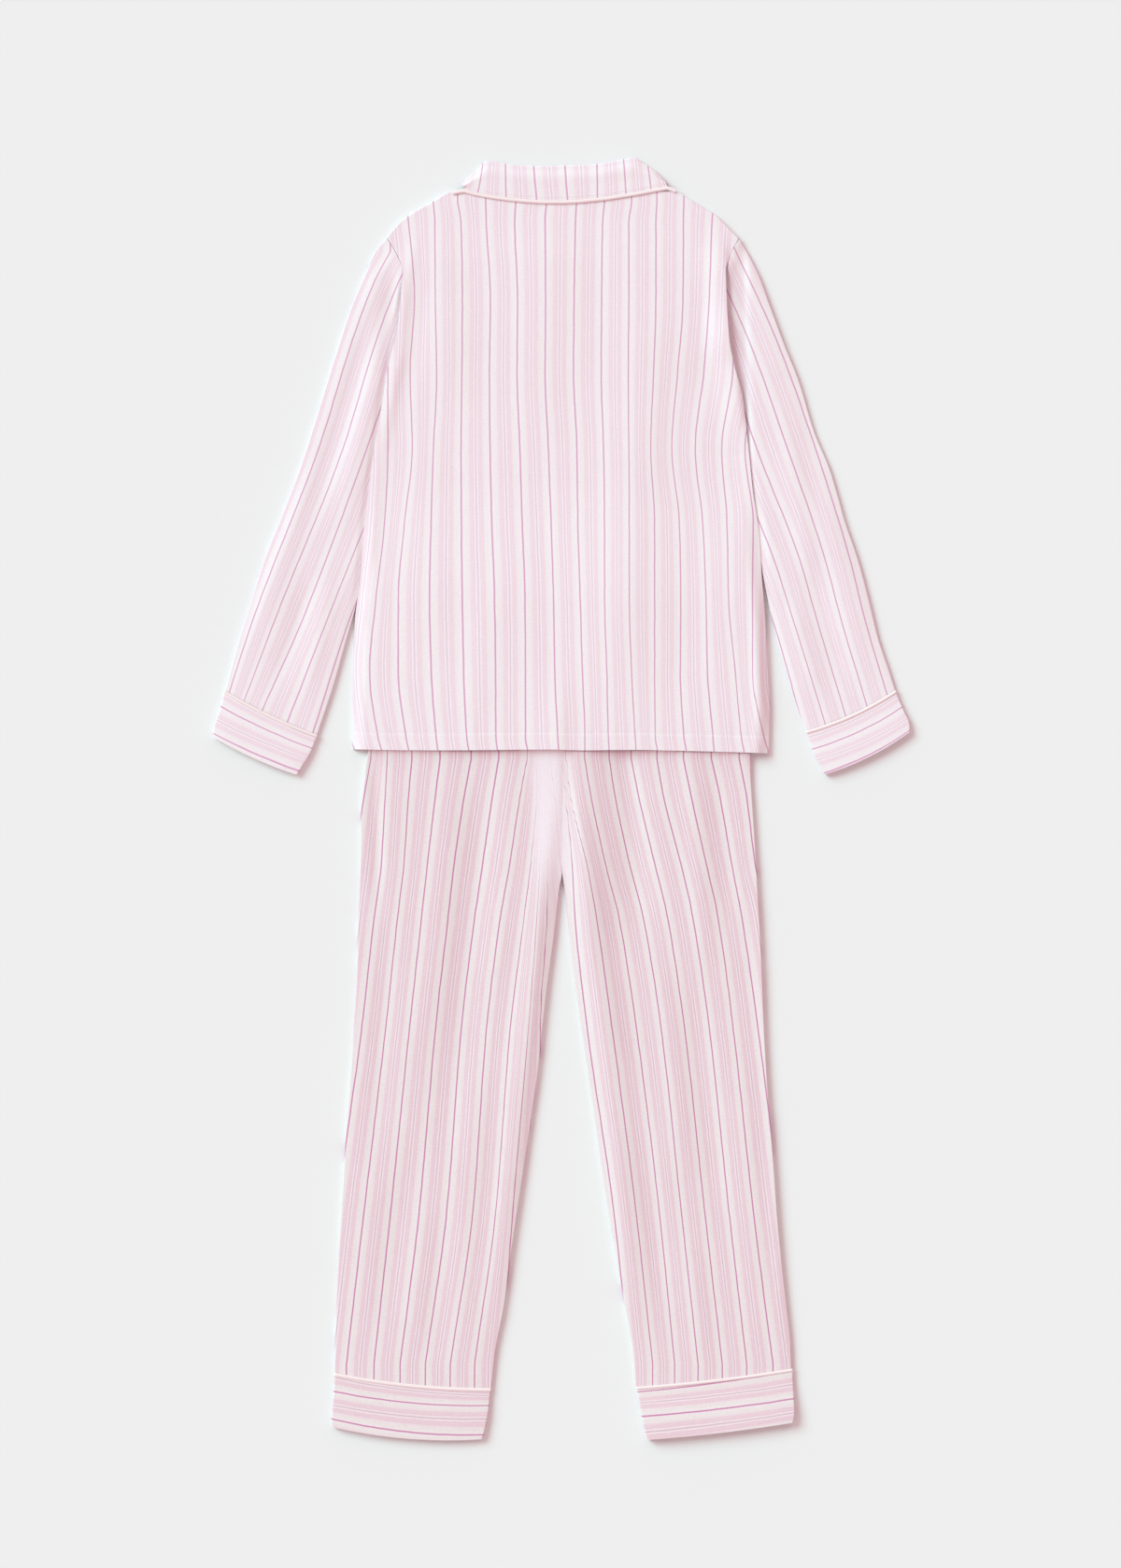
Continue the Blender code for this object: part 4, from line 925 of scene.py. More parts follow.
SLEEVE_RIGHT_STRIPES = (
    Stripes(60, 0, (250.2, 273.6, 296.6, 321.3, 344.9)),
    Stripes(90.7, 0, (241.3, 264.1, 287.4, 312.1, 335.8)),
    Stripes(185.7, 0, (213.8, 234.6, 258.9, 283.6, 307.8)),
    Stripes(242.7, 1, (216.6, 242.7, 268.4, 293.6)),
    Stripes(356.7, 2, (198.5, 229.9, 258.4)),
    Stripes(470.7, 3, (189, 217.1)),
    Stripes(561, 3, (148, 175.6)),
)
SLEEVE_LEFT_CREASES = (
    Crease(-169, 548, -180, 415, 0, 9, -1.9, 0.2),
    Crease(-186, 520, -266, 260, 4, 13, -2.1),
    Crease(-176, 500, -232, 260, 4, 12, 2.1),
    Crease(-246, 360, -318, 130, 0, 12, 1.2),
    Crease(-252, 240, -296, 96, 3, 10, -1.4),
    Crease(-228, 250, -262, 90, 0, 10, 1.4),
)
SLEEVE_RIGHT_CREASES = (
    Crease(184.5, 600, 190.5, 350, -1, 9.5, -2.8, 0.55),
    Crease(200, 556, 244, 330, 4, 16, 1),
    Crease(214, 470, 268, 290, 0, 12, -1.3),
    Crease(222, 380, 258, 210, 3, 12, 1.7),
    Crease(262, 330, 312, 120, 0, 13, 1.3),
    Crease(248, 250, 292, 96, 0, 11, -1.6),
    Crease(232, 210, 264, 92, -2, 10, 1.3),
)


def ring_lines(width, step):
    """The lines round a tube pressed flat, from its inner side under it to its outer side and back
    over it: the inset from the outer side, the share of the width added, the share of the height,
    and whether the line is on the underside."""
    inner_under = np.radians(np.arange(0.0, -90.0, -TUBE_TURN))
    turn = np.radians(np.arange(-90.0, 90.1, TUBE_TURN))
    inner_over = np.radians(np.arange(90.0, 0.0, -TUBE_TURN))
    under_share = np.linspace(1.0, 0.0, round(width / step / 2.0))
    over_share = shares_across(round(width / step), width)
    insets = np.concatenate([
        -TUBE_ROLL * (1.0 - np.cos(inner_under)), TUBE_ROLL * (1.0 - 2.0 * under_share[:-1]),
        TUBE_ROLL * (1.0 - np.cos(turn)), TUBE_ROLL * (1.0 - 2.0 * over_share[1:-1]),
        -TUBE_ROLL * (1.0 - np.cos(inner_over)),
    ])
    shares = np.concatenate([
        np.ones_like(inner_under), under_share[:-1], np.zeros_like(turn), over_share[1:-1],
        np.ones_like(inner_over),
    ])
    lifts = np.concatenate([
        0.5 + 0.5 * np.sin(inner_under), np.zeros(len(under_share) - 1), 0.5 + 0.5 * np.sin(turn),
        np.ones(len(over_share) - 2), 0.5 + 0.5 * np.sin(inner_over),
    ])
    under_count = len(inner_under) + len(under_share) - 1 + len(turn) // 2
    under = np.arange(len(lifts)) < under_count
    return insets, shares, lifts, under


def tube_points(outer, inner, bow, sign, height, follow=None, step=MESH_STEP, tight=1.0):
    """Points round a tube at each pair of outer and inner points, and which lines are on its underside.

    Tight scales the roll of its inner side."""
    run = inner - outer
    width = np.hypot(run[:, 0], run[:, 1])[:, None]
    insets, shares, lifts, under = ring_lines(float(width.max()), step)
    depth = insets * (1.0 - shares * (1.0 - tight)) + shares * width
    share = depth / width
    push = 4.0 * bow[:, None] * share * (1.0 - share) * sign
    x = outer[:, 0:1] + run[:, 0:1] * share - run[:, 1:2] / width * push
    y = outer[:, 1:2] + run[:, 1:2] * share + run[:, 0:1] / width * push
    if follow is not None:
        x = follow(x, y, soft_step(0.0, FOLLOW_REACH, share))
    return np.stack([x, y, lifts * height(x, y, depth, width)], axis=2), under


def ring_map(numbers, along, under):
    """A ring's map: its underside's stripes go on from its outer side, and meet at the underarm."""
    outer_number = numbers[:, under.sum()][:, None]
    numbers = np.where(under, 2.0 * outer_number - numbers, numbers)
    last = numbers[:, -1:] + (numbers[:, -1:] - numbers[:, -2:-1])
    numbers = np.concatenate([numbers, last], axis=1)
    return numbers, np.broadcast_to(along[:, None], numbers.shape)


def sleeve_piece(name, rows, body_edge, sign, seam_start, level, stripe_rows, creases):
    """Above seam_start the sleeve is level with the back beside their seam. Below it the back
    folds over the sleeve, which is level with it by the given share only."""

    def edge(y):
        gap = SEAM_GAP + ARMHOLE_LINE * soft_step(seam_start - ARMHOLE_LINE_RAMP, seam_start, y)
        return body_edge(y) + sign * gap

    inner_x = [float(edge(np.array(row.inner_y))) if row.inner_x is None else row.inner_x for row in rows]
    keys = travelled(np.array([(row.outer_x, row.outer_y) for row in rows]))
    places = np.linspace(0.0, keys[-1], round(keys[-1] / MESH_STEP))

    def field(name):
        return curve_through(keys, [getattr(row, name) for row in rows], places)

    inner_y = field("inner_y")
    inner_x = sign * np.maximum(sign * curve_through(keys, inner_x, places), sign * edge(inner_y))
    crest, dip, follow = (field(name)[:, None] for name in ("crest", "dip", "follow"))

    def height(x, y, depth, width):
        top = crest - (crest - SLEEVE_EDGE_HEIGHT) * (1.0 - soft_step(0.0, SLEEVE_SLOPE, depth))
        keep = soft_step(0.0, 1.0, (width - depth) / dip)
        form = SLEEVE_EDGE_HEIGHT + (top - SLEEVE_EDGE_HEIGHT) * keep + crease_height(creases, x, y)
        seam_x = body_edge(y)
        seam = BACK_EDGE_HEIGHT + chest_rise(y) + crease_height(BACK_CREASES, seam_x, y)
        sewn = soft_step(seam_start + ARMHOLE_RAMP[0], seam_start + ARMHOLE_RAMP[1], y)
        low = level * (1.0 - sewn) * beside_sleeve(y)
        beside = np.exp(-(((x - seam_x) / ARMHOLE_REACH) ** 2)) * (sewn + low)
        return form + (seam - form) * beside

    tight = 1.0 - (1.0 - SLEEVE_TIGHT) * beside_sleeve(inner_y)
    points, under = tube_points(
        np.stack([field("outer_x"), field("outer_y")], axis=1), np.stack([inner_x, inner_y], axis=1),
        field("bow"), sign, height, follow=lambda x, y, near: x + (edge(y) - x) * follow * near,
        tight=tight[:, None],
    )
    numbers = stripe_number(stripe_rows, points[:, :, 0], points[:, :, 1])
    return cloth_piece(name, points, *ring_map(numbers, places * MM, under), striped_finish, ring=True)


for node, *details in (
    ("sleeve_left", SLEEVE_LEFT, body_left, -1.0, SEAM_START_LEFT, LOW_LEVEL_LEFT, SLEEVE_LEFT_STRIPES,
     SLEEVE_LEFT_CREASES),
    ("sleeve_right", SLEEVE_RIGHT, body_right, 1.0, SEAM_START_RIGHT, LOW_LEVEL_RIGHT, SLEEVE_RIGHT_STRIPES,
     SLEEVE_RIGHT_CREASES),
):
    sleeve = sleeve_piece(f"{node}_cloth", *details)
    fasten(sleeve, node)

# Sleeve cuffs and their piping
# A cuff is a band of the same cotton, cut with its stripes round the wrist. A thin piping of plain
# pale pink cotton is caught in the seam between it and the sleeve.
CUFF_EDGE_HEIGHT = 5.2
CUFF_CROWN = 1.0
CUFF_STEP = 2.0
CUFF_LINES = 26
PIPING_WALL = 0.8
PIPING_PROUD = 1.0  # how far its middle stands up
PIPING_SPREAD = 0.4  # share of that by which it stands out at the sides
PIPING_LINES = 9
PIPING_PINK = (0.925, 0.80, 0.805, 1.0)
SLEEVE_CUFF_TILT = 0.03

Band = namedtuple("Band", "outer_x outer_y inner_x inner_y bow")
SLEEVE_SEAM_LEFT = (
    Band(-341.4, 110.5, -247.6, 65.2, 2.4),
    Band(-342.5, 107.1, -248.5, 62.1, 2.4),
)
SLEEVE_CUFF_LEFT = (
    Band(-342.5, 107, -248.5, 62, 2.4),
    Band(-347.7, 87.9, -254.6, 47, 2),
    Band(-353.4, 68.9, -264, 31.5, 1.8),
    Band(-352.2, 62.2, -268.4, 24.4, 2.4),
)
SLEEVE_SEAM_RIGHT = (
    Band(339.8, 110.9, 248.7, 69.4, 4),
    Band(341.1, 107.5, 250, 66, 4),
)
SLEEVE_CUFF_RIGHT = (
    Band(341.1, 107.4, 250, 65.9, 4),
    Band(347.7, 91.7, 255.5, 49.4, 4),
    Band(354.3, 75.5, 263.1, 33.7, 4),
    Band(354.6, 68.2, 268.2, 25, 4),
)


def band_height(edge_height, crown):
    def height(x, y, depth, width):
        share = np.clip(depth / width, 0.0, 1.0)
        return edge_height + crown * (1.0 - (2.0 * share - 1.0) ** 4)

    return height


def band_columns(rows, count):
    """A band's outer and inner points and its bow at evenly spaced places, and how far along."""
    keys = travelled(np.array([(row.outer_x, row.outer_y) for row in rows]))
    places = np.linspace(0.0, keys[-1], count)
    table = np.stack([curve_through(keys, column, places) for column in np.array(rows).T], axis=1)
    return table[:, 0:2], table[:, 2:4], table[:, 4], places


def cuff_piece(name, rows, sign, first_stripe, repeat, lift, tilt, finish):
    """A cuff with its stripes along it, the first dark one this far from its seam.

    Its free edge is higher by the lift. At its inner side the stripes lie lower by tilt repeats."""
    outer, inner, bow, places = band_columns(rows, CUFF_LINES)
    form = band_height(CUFF_EDGE_HEIGHT, CUFF_CROWN)
    flare = lift * soft_step(0.0, places[-1], places)[:, None]
    points, _ = tube_points(
        outer, inner, bow, sign, lambda x, y, depth, width: form(x, y, depth, width) + flare, step=CUFF_STEP,
    )
    depth = np.hypot(*(points[:, :, :2] - outer[:, None]).transpose(2, 0, 1))
    inward = depth / np.hypot(*(inner - outer).T)[:, None]
    numbers = ((places - first_stripe) / repeat)[:, None] - tilt * inward
    numbers = np.concatenate([numbers, numbers[:, :1]], axis=1)
    round_it = np.cumsum(np.hypot(*np.diff(points[0, :, :2], axis=0).T))
    round_it = np.concatenate([[0.0], round_it, round_it[-1:] + 1.0]) * MM
    along = np.broadcast_to(round_it, numbers.shape)
    return cloth_piece(name, points, numbers, along, finish, ring=True)


def plain_ring(name, points, places, wall):
    """A covered cord: a ring of plain cotton, with a map along it."""
    numbers = np.zeros((points.shape[0], points.shape[1] + 1))
    along = np.broadcast_to(places[:, None] * MM, numbers.shape)
    return cloth_piece(name, points, numbers, along, piping_finish, wall=wall, ring=True)


def piping_piece(name, rows, sign):
    """A cord covered with cotton round a seam: a band whose middle stands proud on every side."""
    outer, inner, bow, places = band_columns(rows, PIPING_LINES)
    swell = PIPING_PROUD * np.sin(np.linspace(0.0, math.pi, PIPING_LINES))[:, None] ** 0.6
    out = (outer - inner) / np.linalg.norm(outer - inner, axis=1)[:, None] * swell * PIPING_SPREAD
    form = band_height(CUFF_EDGE_HEIGHT, CUFF_CROWN)
    points, _ = tube_points(
        outer + out, inner - out, bow, sign,
        lambda x, y, depth, width: form(x, y, depth, width) + swell, step=CUFF_STEP,
    )
    return plain_ring(name, points, places, PIPING_WALL)


def cuffs(limb, finish, tilt, ends):
    """The cuffs of two sleeves or legs, each with the piping in its seam."""
    for side, sign, cuff_rows, seam_rows, first_stripe, repeat, lift in ends:
        cuff = cuff_piece(
            f"{limb}_cuff_{side}_cloth", cuff_rows, sign, first_stripe, repeat, lift, tilt, finish,
        )
        fasten(cuff, f"{limb}_cuff_{side}")
        piping = piping_piece(f"{limb}_piping_{side}_cord", seam_rows, sign)
        fasten(piping, f"{limb}_piping_{side}")


piping_finish = plain_cotton("pale_piping", PIPING_PINK, 0.8)
cuffs("sleeve", striped_finish, SLEEVE_CUFF_TILT, (
    ("left", -1.0, SLEEVE_CUFF_LEFT, SLEEVE_SEAM_LEFT, 13.3, 28.6, 1.0),
    ("right", 1.0, SLEEVE_CUFF_RIGHT, SLEEVE_SEAM_RIGHT, 15.0, 25.0, 1.5),
))

# Collar
# A folded band of the striped cotton that stands up from the neck seam and falls over on the back.
# Its free edge is piped, with a row of stitches beside the piping.
COLLAR_FOLD_TOP = 4.8
COLLAR_FOLD_LOW = 0.6
COLLAR_FOLD_RADIUS = 2.2
COLLAR_EDGE_GAP = 0.5
COLLAR_FOLD_RUN = 3.4  # cloth that goes round the fold
COLLAR_SWELL = 1.8  # how far the collar puffs up beside its fold
COLLAR_LEAST = 1.2  # the neck seam is at least this far from the free edge
COLLAR_CLEAR = 0.8  # and this far from the fold
COLLAR_SINK = 2.0  # past the neck seam the collar sinks towards its fold
COLLAR_SINK_CLEAR = 0.5
COLLAR_STEP = 1.6
COLLAR_OVER_LINES = 20
COLLAR_UNDER_LINES = 10
COLLAR_STITCH_INSET = 3.0
COLLAR_STITCHED = slice(4, -3)
COLLAR_PIPING_WIDTH = 3.8
COLLAR_PIPING_HEIGHT = 2.0
COLLAR_PIPING_WALL = 0.6
COLLAR_PIPING_LINES = 130
PIPING_END_LEFT = (-110.5, 617.6)
PIPING_END_RIGHT = (117.0, 619.6)

Collar = namedtuple("Collar", "edge_x edge_y fold_x fold_y")
COLLAR = (
    Collar(-98.3, 619.6, -100.7, 625.6),
    Collar(-90.7, 617.7, -92.6, 633.6),
    Collar(-81.2, 615.6, -84.1, 641.2),
    Collar(-71.7, 613.9, -75.7, 648.8),
    Collar(-62.2, 612.5, -66, 648.1),
    Collar(-48.4, 610.8, -52.7, 645.2),
    Collar(-32.8, 609.4, -38.5, 644.1),
    Collar(-15.7, 608.5, -19.5, 643.6),
    Collar(-0.5, 608.5, -0.5, 644.1),
    Collar(14.7, 609, 18.5, 644.6),
    Collar(29.9, 610.4, 35.6, 645.5),
    Collar(42.3, 611.6, 49.9, 647.9),
    Collar(56.5, 613.7, 63.2, 650.5),
    Collar(71.7, 616.1, 74.1, 652.2),
    Collar(85, 618.5, 83.1, 646.9),
    Collar(94.5, 620.4, 92.2, 641.3),
    Collar(103.1, 621.8, 100.7, 634.1),
    Collar(107.8, 622.5, 105.5, 629),
)
# The collar's dark stripes at its free edge, y = 0, and at its fold, y = 1.
COLLAR_STRIPES = (
    Stripes(0, 0, (-84.6, -56, -24.8, 6.7, 37.1, 66, 91.3)),
    Stripes(1, 0, (-79.3, -56.5, -28, 3.7, 36.6, 63.7, 88.3)),
)

collar_keys = [row.edge_x for row in COLLAR]
collar_columns = round((collar_keys[-1] - collar_keys[0]) / COLLAR_STEP)
collar_x = np.linspace(collar_keys[0], collar_keys[-1], collar_columns)
edge_x, edge_y, fold_x, fold_y = (
    curve_through(collar_keys, column, collar_x)[:, None] for column in np.array(COLLAR).T
)
run_x, run_y = fold_x - edge_x, fold_y - edge_y
reach = np.hypot(run_x, run_y)
turn = reach - COLLAR_FOLD_RADIUS
neck_y = shoulder_line(edge_x) + COLLAR_EDGE_GAP
neck = np.minimum(np.maximum(COLLAR_LEAST, (neck_y - edge_y) * reach / run_y), turn - COLLAR_CLEAR)
high = back_form(edge_x, edge_y) + LAYER_GAP + CLOTH
low = back_form(edge_x, neck_y) - CLOTH
over = turn * np.linspace(0.0, 1.0, COLLAR_OVER_LINES)
sink_start = np.minimum(neck + COLLAR_SINK, turn - COLLAR_SINK_CLEAR)
over_z = high + (COLLAR_FOLD_TOP - high) * soft_step(0.0, 1.0, (over - sink_start) / (turn - sink_start))
over_z = over_z + COLLAR_SWELL * np.sin(math.pi * np.clip(over / turn, 0.0, 1.0) ** 2.0) ** 2
angles = np.radians(np.arange(90.0 - ROLL_TURN, ROLL_TURN - 91.0, -ROLL_TURN))
fold_place = turn + COLLAR_FOLD_RADIUS * np.cos(angles)
half = (COLLAR_FOLD_TOP - COLLAR_FOLD_LOW) / 2.0
fold_z = np.broadcast_to(COLLAR_FOLD_LOW + half + half * np.sin(angles), fold_place.shape)
back = turn + (neck - turn) * np.linspace(0.0, 1.0, COLLAR_UNDER_LINES)
back_z = low + (COLLAR_FOLD_LOW - low) * soft_step(0.0, 1.0, (back - neck) / (turn - neck))
place = np.concatenate([over, fold_place, back], axis=1)
collar_points = np.stack([
    edge_x + run_x * place / reach, edge_y + run_y * place / reach,
    np.concatenate([over_z, fold_z, back_z], axis=1),
], axis=2)
round_fold = turn + COLLAR_FOLD_RUN * np.arange(1, len(angles) + 1) / len(angles)
collar_along = np.concatenate([over, round_fold, 2.0 * turn + COLLAR_FOLD_RUN - back], axis=1)
collar = cloth_piece(
    "collar_cloth", collar_points, stripe_number(COLLAR_STRIPES, collar_points[:, :, 0], place / reach),
    collar_along * MM, striped_finish,
)
fasten(collar, "collar")

stitch_path = np.concatenate([
    edge_x + run_x * COLLAR_STITCH_INSET / reach, edge_y + run_y * COLLAR_STITCH_INSET / reach,
    high + STITCH_LIFT,
], axis=1)
collar_stitches = stitch_row("collar_stitches", stitch_path[COLLAR_STITCHED], thread_finish)

line = np.array([PIPING_END_LEFT] + [(row.edge_x, row.edge_y) for row in COLLAR] + [PIPING_END_RIGHT])
keys = travelled(line)
places = np.linspace(0.0, keys[-1], COLLAR_PIPING_LINES)
line = np.stack([curve_through(keys, column, places) for column in line.T], axis=1)
heading = np.gradient(line, axis=0)
heading /= np.linalg.norm(heading, axis=1)[:, None]
down = np.stack([heading[:, 1], -heading[:, 0]], axis=1)
angles = np.radians(np.arange(0.0, 360.0, 2.0 * ROLL_TURN))
half_width = COLLAR_PIPING_WIDTH / 2.0
out = SEAM_GAP + half_width * (1.0 + np.cos(angles))
base = back_form(line[:, 0], line[:, 1]) + LAYER_GAP
cord_points = np.stack([
    line[:, 0:1] + down[:, 0:1] * out, line[:, 1:2] + down[:, 1:2] * out,
    base[:, None] + COLLAR_PIPING_HEIGHT / 2.0 * (1.0 + np.sin(angles)),
], axis=2)
collar_piping = plain_ring("collar_piping_cord", cord_points, places, COLLAR_PIPING_WALL)
fasten(collar_piping, "collar_piping")

# Trouser legs
# Four pieces of the same cotton: each leg has a back, which shows and rolls under at its edges, and a
# plain front under it. The backs meet in the seat seam, from the waistband down to the crotch.
CROTCH = -72.2
WAISTBAND_DEPTH = 28.0
WAIST_HALF_WIDTH = 132.0
LEG_EDGE_HEIGHT = 4.9
LEG_CROWN = 1.4
HIDDEN_CROWN = 0.6  # what is left of the crown under the shirt
HIDDEN_RAMP = 60.0
HEM_SWELL = 3.2  # how far the trousers puff up right beside the shirt's hem
HEM_REACH = 6.5
HEM_COVER = -0.3  # from here up the hem presses them flat
PLATE_INSET = 2.4
PIECE_GAP = 0.3
SEAT_GAP = 0.03
SEAT_LEFT = SEAT_X - SEAT_GAP / 2.0
SEAT_RIGHT = SEAT_X + SEAT_GAP / 2.0
CROTCH_RAMP = 30.0
LEG_TOP = WAISTBAND_TOP - WAISTBAND_DEPTH - PIECE_GAP
LEG_WIDTH = 200.0
LEG_LENGTH = 760.0
# The trousers' cotton is a deeper, warmer copy of the shirt's: partly its own colour, partly painted shade
# for the dimmer light on the lower half of the set.
TROUSER_TINT_AND_SHADE = (1.0, 0.994, 0.973, 1.0)
TROUSER_DEPTH_AND_SHADE = 1.4
PALE_KEYS = (-110.0, 60.0)  # a painted highlight pales the cloth in a strip beside the seat seam: y of its middle
PALE_MIDDLE = (-8.0, -13.0)
PALE_HALF_WIDTH = 18.0
PALE_START = (-125.0, -50.0)
SEAT_HIGHLIGHT_MOST = 0.8

Leg = namedtuple("Leg", "y outer inner")
LEG_LEFT = (
    Leg(-598, -230.1, -70.5),
    Leg(-561, -229.8, -66.3),
    Leg(-517, -228.5, -57.9),
    Leg(-470, -226.3, -51.5),
    Leg(-422, -223.7, -44.6),
    Leg(-375, -220.7, -37.2),
    Leg(-327, -217.9, -30.3),
    Leg(-280, -214, -23.5),
    Leg(-230, -210.7, -18.2),
    Leg(-182, -207.6, -12.5),
    Leg(-136, -206.7, -6.2),
    Leg(-91, -204.8, -1.4),
    Leg(CROTCH, -204.2, SEAT_LEFT),
    Leg(-9, -203.3, SEAT_LEFT),
    Leg(20, -200.4, SEAT_LEFT),
    Leg(49, -196.2, SEAT_LEFT),
    Leg(100, -184, SEAT_LEFT),
    Leg(170, -WAIST_HALF_WIDTH, SEAT_LEFT),
)
LEG_RIGHT = (
    Leg(-598, 235.2, 75.8),
    Leg(-554, 233.6, 71.7),
    Leg(-517, 229.6, 65.1),
    Leg(-470, 224.4, 57),
    Leg(-422, 220, 48.4),
    Leg(-375, 216.6, 41),
    Leg(-327, 212.8, 34.4),
    Leg(-280, 209.3, 27.4),
    Leg(-230, 206.6, 20),
    Leg(-182, 204.7, 13.5),
    Leg(-136, 202.6, 8.2),
    Leg(-91, 200, 3.6),
    Leg(CROTCH, 199, SEAT_RIGHT),
    Leg(-9, 195.2, SEAT_RIGHT),
    Leg(20, 193.3, SEAT_RIGHT),
    Leg(49, 192.4, SEAT_RIGHT),
    Leg(100, 183, SEAT_RIGHT),
    Leg(170, WAIST_HALF_WIDTH, SEAT_RIGHT),
)
LEG_LEFT_STRIPES = (
    Stripes(-574.3, 2, (-218, -190, -163.4, -137.8, -112.6, -87.9)),
    Stripes(-422.3, 2, (-200.4, -173.4, -144.4, -116.4, -89.8, -66.5, -49.4)),
    Stripes(-232.3, 1, (-202.3, -178.1, -153.9, -127.3, -101.2, -75.5, -51.3, -32.8, -21.4)),
    Stripes(-118.3, 1, (-189.5, -165.8, -141.5, -114.5, -87.4, -61.3, -37, -24.2, -14.7)),
    Stripes(-70.8, 1, (-182.9, -160.1, -136.3, -109.2, -80.3, -52.7, -30.9, -21.5, -13.8, 0)),
    Stripes(5.2, 0, (-199.5, -178.6, -154.8, -127.3, -97.8, -69.3, -40.9, -24.5, -18.5, -13, -7.5)),
    Stripes(41.3, 0, (-192.8, -176.7, -151.5, -123, -91.2, -63.2, -33.7, -25, -20, -16, -11.9)),
)
LEG_RIGHT_STRIPES = (
    Stripes(-574.3, 0, (69.8, 93.1, 115.4, 139.2, 163.9, 188.6, 215.2)),
    Stripes(-422.3, 0, (54.1, 76.5, 100.2, 122.5, 146.3, 171, 195.7)),
    Stripes(-232.3, 0, (26.6, 51.8, 76.5, 101.6, 125.4, 150.6, 174.8, 200)),
    Stripes(-118.3, 0, (14.2, 35.6, 58.4, 83.1, 107.8, 133.5, 159.1, 183.3)),
    Stripes(-70.8, 0, (11.9, 27.1, 46.1, 70.8, 96.4, 123, 148.7, 174.3, 198.1)),
    Stripes(5.2, 0, (5.2, 8.5, 29.9, 54.6, 78.4, 103.5, 131.6, 161, 188.1)),
    Stripes(41.3, 0, (1.4, 4.5, 23.8, 48.9, 71.2, 97.4, 124.4, 152.5, 181)),
)
LEG_LEFT_CREASES = (
    SEAT_RIDGE,
    Crease(-3, 60, -74, -600, 0, 13, 3.6, 0.2),
    Crease(-2, 40, -32, -340, -3, 12, 1.4, 0.2),
    Crease(-78, 90, -128, -400, 10, 20, -2.6),
    Crease(-50, 80, -78, -250, 8, 20, 1.6),
    Crease(-190, 90, -186, -140, 0, 7, -1.8),
    Crease(-110, 70, -150, -300, 6, 16, 1.3),
    Crease(-176, -90, -196, -420, 4, 13, -1.3),
    Crease(-84, -240, -112, -540, 4, 15, 1.6),
    Crease(-150, -330, -186, -580, 0, 16, -1.6),
    Crease(-112, -400, -134, -600, 0, 14, -1.2),
)
LEG_RIGHT_CREASES = (
    SEAT_RIDGE,
    Crease(10, 120, 34, -190, 0, 20, 3.4, -0.6),
    Crease(54, 120, 76, -170, 0, 22, -2.9, 0.3),
    Crease(6, 60, 84, -600, 3, 13, 3, -0.2),
    Crease(190, 60, 230, -640, 3, 9, 2.2),
    Crease(4, 20, 66, -330, -6, 18, 2.9, -0.2),
    Crease(62, 90, 90, -170, 2, 15, -2.1),
    Crease(122, 90, 148, -190, 3, 13, 2, -0.1),
    Crease(150, 80, 172, -160, 3, 12, -1.3),
    Crease(92, -120, 128, -420, 3, 16, 1.4),
    Crease(128, -160, 166, -480, 0, 14, -1.6),
    Crease(70, -280, 108, -560, 2, 14, -1.4),
    Crease(176, -220, 206, -570, 0, 14, 1.2),
    Crease(128, -420, 146, -600, 0, 13, 1.2),
    Crease(40, -280, 74, -592, 0, 58, 1.6),
)
LEG_SEAM_LEFT = (
    Band(-229.9, -583.1, -70.9, -598.7, 3.8),
    Band(-230.3, -586.9, -71.7, -602.6, 3.8),
)
LEG_SEAM_RIGHT = (
    Band(235.1, -578.8, 76, -597.3, 1.7),
    Band(235.5, -582.1, 77.2, -600.6, 1.7),
)


# Its stripes are partly deepened by painted shade, and pale to a painted highlight beside the seat seam.
trouser_finish = striped_cotton("trouser_cotton_and_shade", TROUSER_TINT_AND_SHADE, TROUSER_DEPTH_AND_SHADE, seat_highlight=True)


def whole(values):
    return np.ones_like(values)


def crotch_fold(y):
    """The inner edge is a seam above the crotch and a folded edge below it."""
    return 1.0 - soft_step(CROTCH - CROTCH_RAMP, CROTCH, y)


def ankle_line(first):
    """The leg's lower edge, along the top of its piping."""

    def edge(x):
        share = (x - first.outer_x) / (first.inner_x - first.outer_x)
        straight = first.outer_y + (first.inner_y - first.outer_y) * share
        return straight - 4.0 * first.bow * share * (1.0 - share) + SEAM_GAP

    return edge


def paint_seat_highlight(piece):
    """Give a leg's points a painted highlight's value, for how much it pales the cloth beside the seat seam.
    """
    mesh = piece.data
    places = np.empty(len(mesh.vertices) * 3)
    mesh.vertices.foreach_get("co", places)
    x, y = places.reshape(-1, 3)[:, 0] / MM, places.reshape(-1, 3)[:, 1] / MM
    beside = np.exp(-(((x - np.interp(y, PALE_KEYS, PALE_MIDDLE)) / PALE_HALF_WIDTH) ** 4))
    pale = SEAT_HIGHLIGHT_MOST * beside * soft_step(*PALE_START, y)
    mesh.attributes.new("pale", "FLOAT", "POINT").data.foreach_set("value", pale)


